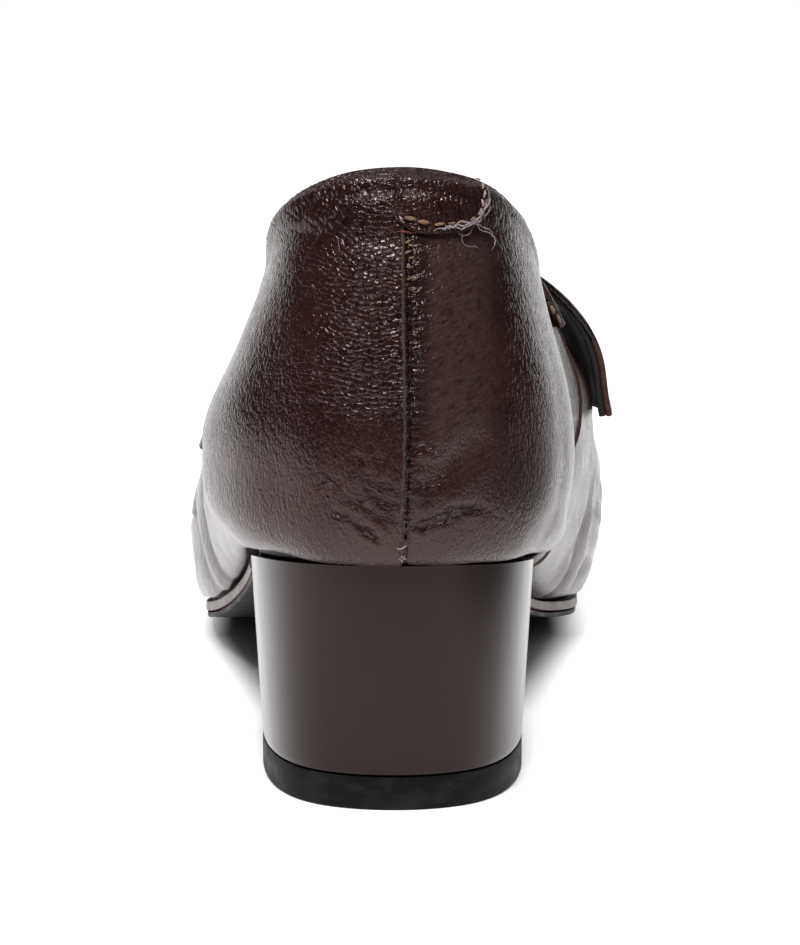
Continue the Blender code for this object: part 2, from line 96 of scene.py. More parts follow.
# along, share of the heel's lift, share of the toe's spring
soleLine = [
    [-60, 1.03, 0.0], [-27, 1.00, 0.0], [-12, 0.958, 0.0], [4, 0.895, 0.0],
    [24, 0.785, 0.0], [50, 0.581, 0.0], [75, 0.356, 0.0], [100, 0.176, 0.0],
    [120, 0.078, 0.0], [138, 0.012, 0.0], [148, 0.0, 0.0], [165, 0.0, 0.0],
    [182, 0.0, 0.145], [200, 0.0, 0.47], [222, 0.0, 1.0], [250, 0.0, 1.65],
]
# section, lateral share, medial share of the wall where the apron's seam runs
apronSeam = [
    [5, 0.40, 0.36], [6, 0.42, 0.41], [7, 0.44, 0.44], [8, 0.45, 0.46], [9, 0.47, 0.48],
    [10, 0.48, 0.48], [11, 0.49, 0.49], [12, 0.53, 0.53], [13, 0.57, 0.57], [14, 0.59, 0.59],
]


def splineThrough(knots, values, at, closed=False):
    # Cubic spline: straight interpolation plus a cubic bend that makes slopes meet.
    knots = np.asarray(knots, float)
    values = np.asarray(values, float).reshape(len(knots), -1)
    step = np.diff(knots)
    count = len(knots)
    rate = np.diff(values, axis=0) / step[:, None]
    if closed:
        size = count - 1
        before = np.roll(step, 1)
        system = np.diag(2 * (before + step))
        places = np.arange(size)
        np.add.at(system, (places, places - 1), before)
        np.add.at(system, (places, (places + 1) % size), step)
        bend = np.linalg.solve(system, 6 * (rate - np.roll(rate, 1, axis=0)))
        bend = np.vstack([bend, bend[:1]])
    else:
        system = np.eye(count)
        inner = np.arange(1, count - 1)
        system[inner, inner - 1] = step[:-1]
        system[inner, inner] = 2 * (step[:-1] + step[1:])
        system[inner, inner + 1] = step[1:]
        change = np.zeros_like(values)
        change[1:-1] = rate[1:] - rate[:-1]
        bend = np.linalg.solve(system, 6 * change)
    at = np.asarray(at, float)
    left = np.clip(np.searchsorted(knots, at, side="right") - 1, 0, count - 2)
    width = (knots[left + 1] - knots[left])[:, None]
    a = (knots[left + 1] - at)[:, None] / width
    b = 1 - a
    curve = (a**3 - a) * bend[left] + (b**3 - b) * bend[left + 1]
    return a * values[left] + b * values[left + 1] + curve * width**2 / 6


def arcPoint(start, first, second, end, share):
    # Point on a cubic arc: the four control points weighed by powers of the share.
    t = share[:, None]
    s = 1 - t
    return s**3 * start + 3 * s**2 * t * first + 3 * s * t**2 * second + t**3 * end


def smoothStep(low, high, value):
    # 0 below low, 1 above high, a smooth climb between.
    t = np.clip((value - low) / (high - low), 0, 1)
    return t * t * (3 - 2 * t)


def bell(distance, width):
    # A hump of height 1 that falls off with the square of distance over width.
    return np.exp(-((distance / width) ** 2))


def lengthAlong(points):
    # How far along a line each of its points lies.
    return np.concatenate([[0], np.cumsum(np.linalg.norm(np.diff(points, axis=0), axis=1))])


def unit(vectors):
    return vectors / np.maximum(np.linalg.norm(vectors, axis=-1, keepdims=True), 1e-12)


def soleHeight(along):
    # Height of the feather edge over the floor: layers, plus heel lift, plus toe spring.
    table = np.array(soleLine, float)
    layers = last["outsole"] + last["midsole"] + 2 * last["gap"]
    knots = table[:, 0] * last["length"] / patternSize["length"]
    along = np.asarray(along, float)
    heelShare, toeShare = splineThrough(knots, table[:, 1:], along.ravel()).T
    lift = heelShare * (last["heelHeight"] - layers) + toeShare * last["toeSpring"]
    return (layers + np.maximum(lift, 0)).reshape(along.shape)


def gradedSections():
    lengthwise = last["length"] / patternSize["length"]
    across = last["ballWidth"] / patternSize["ballWidth"]
    rise = last["instep"] / patternSize["instep"]
    loop = [backSection] + lateralSections + [toeSection] + medialSections[::-1] + [backSection]
    return np.array(loop) * [lengthwise, across, across, rise, 1, across, lengthwise, rise, 1, 1]


sections = gradedSections()
toeRow = len(lateralSections) + 1
throatRow = last["throatRow"]
# by side, as everywhere below: False lateral, True medial
cornerShare = {False: last["lateralCorner"], True: last["medialCorner"]}
placeKnots = lengthAlong(sections[:, [1, 0]])
aroundAll = placeKnots[-1]


def placeOfRow(rows, medial):
    side = placeKnots[::-1] if medial else placeKnots
    return np.interp(rows, np.arange(toeRow + 1), side[: toeRow + 1])


def distanceOfRow(rows, medial):
    # How far round the feather edge a section lies from the back centre.
    place = placeOfRow(rows, medial)
    return aroundAll - place if medial else place


def edgeInPlan(places):
    # The feather edge seen from above, and the outward direction there.
    reach = 0.0005
    here = splineThrough(placeKnots, sections[:, :2], places % aroundAll, True)
    ahead = splineThrough(placeKnots, sections[:, :2], (places + reach) % aroundAll, True)
    tangent = unit(ahead - here)
    return here[:, 1], here[:, 0], -tangent[:, 0], tangent[:, 1]


def lowSection(places):
    # Foot and widest point of the wall, its fullness and its outward direction.
    along, edge, bulge, height, full = splineThrough(
        placeKnots, sections[:, :5], places % aroundAll, True
    ).T
    _, _, normalAcross, normalAlong = edgeInPlan(places)
    outward = np.stack([normalAcross, normalAlong, np.zeros_like(along)], axis=1)
    foot = np.stack([edge, along, soleHeight(along)], axis=1)
    widest = foot + outward * bulge[:, None] + up * height[:, None]
    return foot, widest, full, outward, bulge[:, None], height[:, None]


def highControls(places, tops, slope):
    # Control points of the wall from its widest point to its top.
    _, widest, full, outward, _, _ = lowSection(places)
    across, along, rise, lean, flat = tops.T
    end = np.stack([across, along, soleHeight(along) + rise], axis=1)
    lean = np.radians(lean)[:, None]
    inward = -outward - up * (outward[:, 1] * slope)[:, None]
    tangent = unit(np.cos(lean) * up + np.sin(lean) * inward)
    climb = (end - widest)[:, 2]
    reach = -((end - widest) * outward).sum(axis=1)
    handle = flat * np.hypot(climb, reach)
    return widest, widest + up * (full * climb)[:, None], end - tangent * handle[:, None], end


def ridgeAt(rows):
    numbers = np.arange(throatRow, toeRow + 1)
    tops = splineThrough(
        numbers, sections[throatRow : toeRow + 1, 5:], np.clip(rows, throatRow, toeRow)
    )
    return tops, tops[:, 1], soleHeight(tops[:, 1]) + tops[:, 2]


def frontControls(rows, medial):
    reach = 0.02
    _, ahead, heightAhead = ridgeAt(rows + reach)
    _, behind, heightBehind = ridgeAt(rows - reach)
    slope = (heightAhead - heightBehind) / (ahead - behind)
    return highControls(placeOfRow(rows, medial), ridgeAt(rows)[0], slope)


def cutArc(start, first, second, end, share):
    # The lower part of a cubic arc, by repeated division of its control points.
    one = start + share * (first - start)
    middle = first + share * (second - first)
    three = second + share * (end - second)
    two = one + share * (middle - one)
    four = middle + share * (three - middle)
    return start, one, two, two + share * (four - two)


def openingControls():
    throat = np.array([float(throatRow)])
    corners = [
        [part[0] for part in cutArc(*frontControls(throat, medial), cornerShare[medial])]
        for medial in (True, False)
    ]
    first = len(placeKnots) - throatRow
    numbers = np.r_[first : len(placeKnots) - 1, 0:throatRow]
    places = np.where(numbers >= first, placeKnots[numbers] - aroundAll, placeKnots[numbers])
    parts = highControls(places, sections[numbers, 5:], np.zeros(len(numbers)))
    ends = np.concatenate([[corners[0]], np.stack(parts, axis=1), [corners[1]]])
    start = placeKnots[first - 1] - aroundAll
    return np.concatenate([[start], places, [placeKnots[throatRow]]]), ends


openingKnots, openingEnds = openingControls()


def wallPoints(part, u, v):
    # A point of the upper. part is back, lateral or medial; u is the place round the back or
    # the section's number in front; v runs -1 to 0 up to the widest point and 0 to 1 above it.
    u, v = np.asarray(u, float), np.asarray(v, float)
    places = u if part == "back" else placeOfRow(u, part == "medial")
    foot, widest, _, outward, bulge, height = lowSection(places)
    low = arcPoint(
        foot,
        foot + outward * last["footFlare"] * bulge,
        widest - up * last["lowFullness"] * height,
        widest,
        np.clip(v + 1, 0, 1),
    )
    if part == "back":
        flatEnds = openingEnds.reshape(len(openingKnots), -1)
        parts = splineThrough(openingKnots, flatEnds, u).reshape(-1, 4, 3)
        rise = (parts[:, 1] - parts[:, 0])[:, 2:]
        controls = widest, widest + up * rise, parts[:, 2], parts[:, 3]
    else:
        controls = frontControls(u, part == "medial")
    high = arcPoint(*controls, np.clip(v, 0, 1))
    return np.where(v[:, None] < 0, low, high)


# w, then how far the vamp's cut edge stands ahead of the throat's section, lateral and medial,
# in millimetres measured round the feather edge
vampEdge = [
    [-1.0, -50, -50], [-0.6, -50, -46], [-0.27, -49, -36], [-0.17, -47, -31], [-0.04, -42, -23],
    [0.16, -24, -13.5], [0.33, -14, -7.5], [0.49, -8, -2], [0.7, -3, 1], [0.86, -1, 1], [1.0, 0, 0],
]
throatDistance = {
    False: placeKnots[throatRow], True: aroundAll - placeKnots[len(placeKnots) - 1 - throatRow],
}
edgeReach = {"behind": 85.0, "ahead": 60.0}  # mm over which the grid bends to follow that edge


def sideSpline(table, at, medial):
    # Reads a table of place, lateral value and medial value as a smooth curve.
    table = np.array(table, float)
    return splineThrough(table[:, 0], table[:, 2 if medial else 1], at)[:, 0]


def seamShare(rows, medial):
    return sideSpline(apronSeam, rows, medial)


def bentDistance(distance, w, medial):
    # Distance from the back centre, moved so that the throat's grid line lies on the vamp's edge.
    shift = sideSpline(vampEdge, w, medial) * mm
    ahead = distance - throatDistance[medial]
    reach = np.where(ahead < 0, edgeReach["behind"], -edgeReach["ahead"]) * mm
    return distance + shift * smoothStep(0, 1, 1 + ahead / reach)


def wallAt(medial, distance, w):
    # A point of the quarters and vamp below the topline and the apron's seam, by distance from
    # the back centre; w runs -1 at the feather edge, 0 at the widest point, 1 at the top.
    numbers = np.arange(toeRow + 1)
    rows = np.interp(distance, distanceOfRow(numbers, medial), numbers)
    rows = np.clip(rows, throatRow, toeRow)
    inFront = distance > throatDistance[medial] + 1e-9
    seam = np.where(inFront, seamShare(rows, medial), cornerShare[medial])
    front = wallPoints("medial" if medial else "lateral", rows, np.where(w > 0, seam * w, w))
    back = wallPoints("back", -distance if medial else distance, w)
    return np.where(inFront[:, None], front, back)


def wallNormals(part, u, v):
    # Outward normal: the cross product of the two directions along the surface.
    stepU = 0.0003 if part == "back" else 0.01
    stepV = 0.004
    vUp, vDown = np.minimum(v + stepV, 1), np.maximum(v - stepV, -1)
    alongU = wallPoints(part, u + stepU, v) - wallPoints(part, u - stepU, v)
    alongV = wallPoints(part, u, vUp) - wallPoints(part, u, vDown)
    sign = -1 if part == "medial" else 1
    return unit(sign * np.cross(alongV, alongU))


def findOnWall(part, reading, wanted, u, v, rounds=14):
    # Newton's method: moves u and v until reading(point) is what is wanted.
    u, v = np.array(u, float), np.array(v, float)
    stepU = 0.0001 if part == "back" else 0.003
    stepV = 0.001
    for _ in range(rounds):
        base = reading(wallPoints(part, u, v))
        byU = (reading(wallPoints(part, u + stepU, v)) - base) / stepU
        back = np.where(v > 0.99, -stepV, stepV)
        byV = (reading(wallPoints(part, u, v + back)) - base) / back[:, None]
        miss = wanted - base
        det = byU[:, 0] * byV[:, 1] - byU[:, 1] * byV[:, 0]
        det = np.where(np.abs(det) < 1e-12, 1e-12, det)
        du = (miss[:, 0] * byV[:, 1] - miss[:, 1] * byV[:, 0]) / det
        dv = (byU[:, 0] * miss[:, 1] - byU[:, 1] * miss[:, 0]) / det
        limitU = 0.01 if part == "back" else 0.8
        u = u + np.clip(du, -limitU, limitU)
        v = np.clip(v + np.clip(dv, -0.15, 0.15), -1, 1)
    return u, v


def planEdge(alongs, outset):
    # Lateral and medial x of the feather edge moved outward, at places along the shoe.
    places = np.linspace(0, aroundAll, 2400, endpoint=False)
    across, along, normalAcross, normalAlong = edgeInPlan(places)
    across, along = across + normalAcross * outset, along + normalAlong * outset
    backAt, frontAt = np.argmin(along), np.argmax(along)
    order = np.roll(np.arange(len(places)), -backAt)
    turn = (frontAt - backAt) % len(places)
    lateral, medial = order[: turn + 1], np.append(order[turn:], order[0])[::-1]
    return (
        np.interp(alongs, along[lateral], across[lateral]),
        np.interp(alongs, along[medial], across[medial]),
        along.min(),
        along.max(),
    )


# making meshes
def gridQuads(rows, columns, flipped=False, start=0):
    # Faces of a grid numbered row by row.
    i, j = np.meshgrid(np.arange(rows - 1), np.arange(columns - 1), indexing="ij")
    a = (start + i * columns + j).ravel()
    quads = np.stack([a, a + 1, a + columns + 1, a + columns], axis=1)
    return quads[:, ::-1] if flipped else quads


def weld(points, quads, within=1e-7):
    # Points at the same spot become one.
    _, first, index = np.unique(
        np.round(points / within).astype(np.int64), axis=0, return_index=True, return_inverse=True
    )
    return points[first], index.reshape(-1)[quads], first


def sheetNormals(points, quads):
    # Normals at the points: the sum of those of the faces round each.
    across = points[quads[:, 2]] - points[quads[:, 0]]
    other = points[quads[:, 3]] - points[quads[:, 1]]
    faceNormals = np.cross(across, other)
    total = np.zeros_like(points)
    for corner in range(4):
        np.add.at(total, quads[:, corner], faceNormals)
    return unit(total)


def shellOf(outer, inner, quads, rimRows=5, rimReach=1.0, softening=0):
    # A closed wall between two sheets, its rim a half round.
    # Gives points, faces and each face's zone: 0 outside, 1 rim, 2 inside.
    count = len(outer)
    starts = quads.ravel()
    ends = np.roll(quads, -1, axis=1).ravel()
    key = np.minimum(starts, ends) * count + np.maximum(starts, ends)
    _, inverse, times = np.unique(key, return_inverse=True, return_counts=True)
    open_ = times[inverse.reshape(-1)] == 1
    a, b = starts[open_], ends[open_]
    normals = unit(outer - inner)
    away = unit(np.cross(outer[b] - outer[a], normals[a] + normals[b]))
    direction = np.zeros_like(outer)
    np.add.at(direction, a, away)
    np.add.at(direction, b, away)
    following = np.arange(count)
    following[a] = b
    leading = np.arange(count)
    leading[b] = a
    for _ in range(softening):
        direction = direction + 0.5 * (direction[following] + direction[leading])
        direction = unit(direction - normals * (direction * normals).sum(axis=1)[:, None])
    direction = unit(direction)
    rim = np.unique(np.concatenate([a, b]))
    slot = np.full(count, -1)
    slot[rim] = np.arange(len(rim))
    half = (outer[rim] - inner[rim]) / 2
    radius = np.linalg.norm(half, axis=1)[:, None]
    reach = np.broadcast_to(rimReach, (count,))[rim][:, None]
    rings, faces = [], []
    previousA, previousB = a, b
    for k in range(1, rimRows):
        angle = np.pi * k / rimRows
        ring = inner[rim] + half + half * np.cos(angle)
        rings.append(ring + direction[rim] * radius * reach * np.sin(angle))
        base = 2 * count + (k - 1) * len(rim)
        nextA, nextB = base + slot[a], base + slot[b]
        faces.append(np.stack([previousB, previousA, nextA, nextB], axis=1))
        previousA, previousB = nextA, nextB
    faces.append(np.stack([previousB, previousA, count + a, count + b], axis=1))
    rimFaces = np.concatenate(faces)
    allFaces = np.concatenate([quads, rimFaces, quads[:, ::-1] + count])
    zones = np.concatenate([np.zeros(len(quads)), np.ones(len(rimFaces)), np.full(len(quads), 2)])
    return np.concatenate([outer, inner] + rings), allFaces, zones.astype(int)


def addObject(name, data):
    made = bpy.data.objects.new(name, data)
    bpy.context.scene.collection.objects.link(made)
    return made


def makePiece(name, points, faces, materials, zones=None, replaces=(),
              values=None, sharpAngle=None):
    # Puts arrays into a mesh object that rides on the body.
    mesh = bpy.data.meshes.new(name)
    mesh.from_pydata(points.tolist(), [], faces.tolist() if hasattr(faces, "tolist") else faces)
    for surface in materials:
        mesh.materials.append(surface)
    if zones is not None:
        mesh.polygons.foreach_set("material_index", np.asarray(zones, np.int32))
    mesh.shade_smooth()
    if sharpAngle:
        mesh.set_sharp_from_angle(angle=np.radians(sharpAngle))
    for key, numbers in (values or {}).items():
        layer = mesh.attributes.new(key, "FLOAT", "POINT")
        full = np.zeros(len(points), np.float32)
        full[: len(numbers)] = numbers
        layer.data.foreach_set("value", full)
    mesh.update()
    piece = addObject(name, mesh)
    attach(piece, "root")
    if replaces:
        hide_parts(*replaces)
    print("made", name, len(points), "points")


def tubeCorners(rings, around):
    # Four corners for each face of a tube: here, next round, and both on the ring after.
    i, j = np.meshgrid(np.arange(rings - 1), np.arange(around), indexing="ij")
    a = (i * around + j).ravel()
    b = (i * around + (j + 1) % around).ravel()
    return a, b, a + around, b + around


def sweep(path, normals, profile, size):
    # Carries a closed profile (side, out) along a path, with flat ends.
    tangents = unit(np.gradient(path, axis=0))
    normals = unit(normals - tangents * (normals * tangents).sum(axis=1)[:, None])
    sides = np.cross(tangents, normals)
    offsets = profile[None, :, :] * size[:, None, None]
    points = (
        path[:, None, :]
        + sides[:, None, :] * offsets[:, :, 0:1]
        + normals[:, None, :] * offsets[:, :, 1:2]
    )
    count = len(profile)
    here, beside, after, across = tubeCorners(len(path), count)
    faces = np.stack([after, across, beside, here], axis=1).tolist()
    faces.append(list(range(count)))
    faces.append(list(range((len(path) - 1) * count, len(path) * count))[::-1])
    return points.reshape(-1, 3), faces


# materials
class Nodes:
    # Shorthand for building a node tree. A value is another node's output or what it stands for.

    def __init__(self, tree):
        self.tree = tree

    def link(self, source, target):
        self.tree.links.new(source, target)

    def node(self, kind, values=None, **settings):
        # Values go by the name or the number of their socket.
        made = self.tree.nodes.new(kind)
        for key, value in settings.items():
            setattr(made, key, value)
        for key, value in (values or {}).items():
            if isinstance(value, bpy.types.NodeSocket):
                self.link(value, made.inputs[key])
            else:
                made.inputs[key].default_value = value
        return made

    def math(self, operation, *values, clamp=False):
        return self.node("ShaderNodeMath", dict(enumerate(values)), operation=operation,
                         use_clamp=clamp).outputs[0]

    def times(self, first, second):
        return self.math("MULTIPLY", first, second)

    def plus(self, first, second):
        return self.math("ADD", first, second)

    def minus(self, first, second, clamp=False):
        return self.math("SUBTRACT", first, second, clamp=clamp)

    def larger(self, first, second):
        return self.math("MAXIMUM", first, second)

    def range(self, value, low, high, toLow=0.0, toHigh=1.0, smooth=False):
        values = {"Value": value, "From Min": low, "From Max": high, "To Min": toLow,
                  "To Max": toHigh}
        return self.node("ShaderNodeMapRange", values,
                         interpolation_type="SMOOTHSTEP" if smooth else "LINEAR").outputs["Result"]

    def axes(self, vector):
        made = self.node("ShaderNodeSeparateXYZ", {0: vector})
        return made.outputs["X"], made.outputs["Y"], made.outputs["Z"]


def toned(color, factor):
    return tuple(value * factor for value in color)


class Surface(Nodes):
    # A material: its shader, its place coordinates and the patterns used on them.

    def __init__(self, name, color, roughness, **sockets):
        self.material = bpy.data.materials.new(name)
        self.material.use_nodes = True
        super().__init__(self.material.node_tree)
        self.shader = self.tree.nodes["Principled BSDF"]
        self.shader.inputs["Base Color"].default_value = (*color, 1.0)
        self.shader.inputs["Roughness"].default_value = roughness
        labels = {"coat": "Coat Weight", "coatRoughness": "Coat Roughness",
                  "sheen": "Sheen Weight", "sheenRoughness": "Sheen Roughness",
                  "specular": "Specular IOR Level", "tint": "Specular Tint"}
        for key, value in sockets.items():
            self.shader.inputs[labels[key]].default_value = value
        self.place = self.node("ShaderNodeTexCoord").outputs["Object"]

    def moved(self, scale, rotation=None):
        # The coordinates turned, then scaled.
        source = self.place
        for label, value in (("Rotation", rotation), ("Scale", scale)):
            if value:
                source = self.node("ShaderNodeMapping", {"Vector": source, label: value}).outputs[0]
        return source

    def noise(self, scale, detail=3.0, vector=None, roughness=0.5):
        values = {"Vector": vector or self.place, "Scale": scale, "Detail": detail,
                  "Roughness": roughness}
        return self.node("ShaderNodeTexNoise", values).outputs["Fac"]

    def warped(self, scale, amount, vector=None):
        # The coordinates pushed about by noise.
        vector = vector or self.place
        kind = "ShaderNodeVectorMath"
        push = self.node("ShaderNodeTexNoise", {"Vector": vector, "Scale": scale}).outputs["Color"]
        push = self.node(kind, {0: push, 1: (0.5, 0.5, 0.5)}, operation="SUBTRACT").outputs[0]
        push = self.node(kind, {0: push, "Scale": amount}, operation="SCALE").outputs[0]
        return self.node(kind, {0: vector, 1: push}, operation="ADD").outputs[0]

    def cells(self, scale, vector, feature="DISTANCE_TO_EDGE"):
        return self.node("ShaderNodeTexVoronoi", {"Vector": vector, "Scale": scale},
                         feature=feature).outputs["Distance"]

    def ramp(self, value, *stops):
        # Each stop is (position, colour).
        made = self.node("ShaderNodeValToRGB", {"Fac": value})
        elements = made.color_ramp.elements
        while len(elements) < len(stops):
            elements.new(0.5)
        for element, (position, color) in zip(elements, stops):
            element.position = position
            element.color = (*color, 1.0)
        return made.outputs["Color"]

    def mix(self, factor, first, second):
        # Two colours, or an output and a colour.
        colors = [(*each, 1.0) if isinstance(each, tuple) else each for each in (first, second)]
        values = {"Factor": factor, 6: colors[0], 7: colors[1]}
        return self.node("ShaderNodeMix", values, data_type="RGBA").outputs[2]

    def blend(self, factor, first, second):
        values = {0: factor, 2: first, 3: second}
        return self.node("ShaderNodeMix", values, data_type="FLOAT").outputs[0]

    def attribute(self, name):
        return self.node("ShaderNodeAttribute", attribute_name=name).outputs["Fac"]

    def set(self, label, source):
        self.link(source, self.shader.inputs[label])

    def color(self, source):
        self.set("Base Color", source)

    def rough(self, source):
        self.set("Roughness", source)

    def bump(self, *layers):
        # Each layer is (height, strength, depth in metres), stacked in order.
        below = {}
        for height, strength, depth in layers:
            values = {"Height": height, "Strength": strength, "Distance": depth, **below}
            normal = self.node("ShaderNodeBump", values).outputs[0]
            below = {"Normal": normal}
        self.set("Normal", normal)
        self.set("Coat Normal", normal)


# sizes in cells per metre, depths in metres
leatherLook = {
    "pebbles": 1080, "pebbleDepth": 0.00021, "fineGrain": 1900, "fineDepth": 0.00008,
    "streaks": (1500, 1500, 480), "streakTurn": (0, 0.22, 0), "streakDepth": 0.00018,
    "rubs": (1900, 1300, 280), "rubTurn": (0, -1.05, 0), "rubDepth": 0.00010,
    "pleats": (420, 420, 1500), "pleatDepth": 0.00035, "slits": 950, "slitDepth": 0.00018,
    "dark": (0.012, 0.0034, 0.0031), "mid": (0.027, 0.0090, 0.0078),
    # past the light tone come three of painted sheen: lighter tones for the patch by the seam and
    # the low counter, streaked by rub marks
    "light": (0.046, 0.0180, 0.0150), "paintedSheenDark": (0.019, 0.0098, 0.0084),
    "paintedSheenAndRubs": (0.046, 0.026, 0.023), "paintedSheenLight": (0.066, 0.042, 0.036),
    "base": (0.03, 0.01, 0.009), "paintedShadeTone": 0.35, "specular": 0.37, "seamAt": 0.0018,
}
glazeTint = (1.0, 0.80, 0.77, 1.0)  # of the highlights on leather and lacquer


def crackledLeather(name, masked=True, pebbled=0.5, tint=(1.0, 1.0, 1.0)):
    # Glazed goatskin: round pebbles parted by cracks, a fine streaked grain where it lies flat.
    look = leatherLook
    skin = Surface(name, look["base"], 0.22, specular=look["specular"], coat=0.08,
                   coatRoughness=0.1, tint=glazeTint)
    dark, mid, light = (
        tuple(value * t for value, t in zip(look[key], tint)) for key in ("dark", "mid", "light")
    )
    uneven = skin.noise(520, 3.0)
    roundPlace = skin.warped(420, 0.0008, skin.moved((0.78, 0.78, 1.12)))
    roundCracks = skin.cells(look["pebbles"], roundPlace)
    upright = skin.cells(look["pebbles"],
                         skin.warped(420, 0.0007, skin.moved((1.0, 1.0, 0.46))))
    fine = skin.cells(look["fineGrain"], skin.warped(900, 0.0004, skin.moved((1, 1, 0.62))))
    streaks = skin.noise(1, 2.0, skin.moved(look["streaks"], look["streakTurn"]))
    wide = skin.noise(70, 3.0)
    dome = skin.range(skin.cells(look["pebbles"], roundPlace, "F1"), 0.05, 0.72, 1.0, 0.0, True)
    pebble = skin.plus(skin.times(dome, 0.5), skin.range(roundCracks, 0.0, 0.16, 0.0, 0.5, True))
    if masked:
        crackle, gather = skin.attribute("crackle"), skin.attribute("gather")
        uprightHeight = skin.range(upright, 0.0, 0.28, smooth=True)
        pebble = skin.blend(skin.attribute("stretch"), pebble, uprightHeight)
        quiet = skin.times(skin.minus(1.0, crackle, True), skin.attribute("grain"))
    else:
        crackle, quiet = pebbled, 1.0 - pebbled
    pebbleHeight = skin.times(skin.times(pebble, crackle),
                              skin.range(uneven, 0.3, 0.6, 0.45, 1.0))
    fineHeight = skin.times(skin.range(fine, 0.0, 0.3), skin.plus(quiet, 0.1))
    layers = [(pebbleHeight, 1.0, look["pebbleDepth"]),
              (skin.times(streaks, quiet), 0.9, look["streakDepth"]),
              (fineHeight, 0.55, look["fineDepth"])]
    # darker along the streaks' troughs and where the crackle shows; painted shade down in the
    # cracks between the pebbles
    ground = skin.ramp(wide, (0.32, dark), (0.5, mid), (0.72, light))
    ground = skin.mix(skin.times(skin.range(streaks, 0.35, 0.62, 0.75, 0.0),
                                 skin.plus(quiet, 0.25)), ground, dark)
    # the colour of painted shade, used in the cracks, the gathers and the slits
    paintedShadeColor = toned(dark, look["paintedShadeTone"])
    ground = skin.mix(skin.times(crackle, 0.55), ground, dark)
    crackShade = skin.times(skin.range(pebble, 0.05, 0.42, 0.95, 0.0), crackle)
    ground = skin.mix(crackShade, ground, paintedShadeColor)
    if masked:
        pleats = skin.noise(1, 2.0, skin.moved(look["pleats"]))
        layers.append((skin.times(pleats, gather), 1.0, look["pleatDepth"]))
        # painted shade in the gathers and the seam's groove
        ground = skin.mix(skin.times(gather, 0.6), ground, paintedShadeColor)
        # painted sheen: lighter tones where the mask says, streaked by rub marks that also give a
        # bump
        rubs = skin.noise(1, 4.0, skin.moved(look["rubs"], look["rubTurn"]), 0.65)
        paintedSheenAndRubs = skin.attribute("paintedSheenAndRubs")
        ground = skin.mix(paintedSheenAndRubs, ground, skin.ramp(
            rubs, (0.33, look["paintedSheenDark"]), (0.48, look["paintedSheenAndRubs"]), (0.70, look["paintedSheenLight"])))
        layers.append((skin.times(rubs, paintedSheenAndRubs), 1.0, look["rubDepth"]))
        # thin slits where the counter wrinkles, slanting down towards the seam on both sides, with
        # painted shade in them
        x, y, z = skin.axes(skin.place)
        aside = skin.math("ABSOLUTE", skin.minus(x, look["seamAt"]))
        slanted = {0: skin.times(x, 0.28), 1: y, 2: skin.minus(z, skin.times(aside, 0.35))}
        slanted = skin.node("ShaderNodeCombineXYZ", slanted).outputs[0]
        slits = skin.cells(look["slits"], skin.warped(420, 0.0009, slanted))
        slit = skin.times(skin.range(slits, 0.03, 0.20, 1.0, 0.0, True),
                          skin.attribute("wrinkle"))
        ground = skin.mix(skin.times(slit, 0.9), ground, paintedShadeColor)
        layers.append((skin.minus(1.0, slit), 1.0, look["slitDepth"]))
        # painted shade: the glaze's specular level is cut down in the forepart's folds and in those
        # slits
        foldAndSlitShade = skin.plus(skin.attribute("fold"), skin.times(slit, 0.7))
        skin.set("Specular IOR Level", skin.times(skin.minus(1.0, foldAndSlitShade, True), look["specular"]))
    skin.color(ground)
    skin.rough(skin.range(skin.noise(240, 3.0), 0.3, 0.7, 0.17, 0.27))
    skin.bump(*layers)
    return skin.material


def plainLeather(name, color, roughness, grainDepth=0.00006):
    # Unglazed lining leather with a fine grain.
    skin = Surface(name, color, roughness, specular=0.3)
    tone = skin.noise(60, 4.0)
    skin.color(skin.ramp(tone, (0.3, toned(color, 0.72)), (0.7, toned(color, 1.25))))
    skin.rough(skin.range(skin.noise(220, 3.0), 0.3, 0.7, roughness - 0.08, roughness + 0.08))
    skin.bump((skin.cells(1500, skin.warped(500, 0.0005)), 0.4, grainDepth),
              (skin.noise(3000, 2.0), 0.3, grainDepth))
    return skin.material


def rawEdge(name, color):
    # Cut leather: fibres, uneven dye.
    edge = Surface(name, color, 0.62, specular=0.3)
    tone = edge.noise(900, 5.0, edge.moved((1, 1, 3)))
    edge.color(edge.ramp(tone, (0.35, toned(color, 0.35)), (0.65, color)))
    edge.bump((edge.noise(2500, 4.0), 0.5, 0.00012))
    return edge.material


def threadOf(name, color, fuzz=0.25):
    # Twisted thread: fuzz and a slight change of tone.
    thread = Surface(name, color, 0.7, specular=0.8 * fuzz, sheen=fuzz, sheenRoughness=0.5)
    tone = thread.noise(1400, 3.0)
    thread.color(thread.ramp(tone, (0.35, toned(color, 0.5)), (0.6, color)))
    thread.bump((thread.noise(5000, 3.0), 0.4, 0.00006))
    return thread.material


goatskin = crackledLeather("crackled goatskin")
liningLeather = plainLeather("lining", (0.20, 0.125, 0.080), 0.62)
blackBacking = plainLeather("black backing", (0.008, 0.008, 0.008), 0.55)
brownEdge = rawEdge("raw edge", (0.085, 0.036, 0.026))
tanEdge = rawEdge("seam edge", (0.075, 0.047, 0.038))
# the insole board's edge, near black: painted shade in the gap under the counter
shadedBoardEdge = rawEdge("insole edge shade", (0.010, 0.006, 0.005))
tanThread = threadOf("tan thread", (0.30, 0.17, 0.095))
creamThread = threadOf("cream thread", (0.52, 0.38, 0.33))
darkThread = threadOf("dark thread", (0.006, 0.004, 0.004), 0.02)
brownThread = threadOf("brown thread", (0.024, 0.013, 0.011), 0.05)
redThread = threadOf("red thread", (0.20, 0.040, 0.026))
frayThread = threadOf("frayed thread", (0.42, 0.35, 0.38))


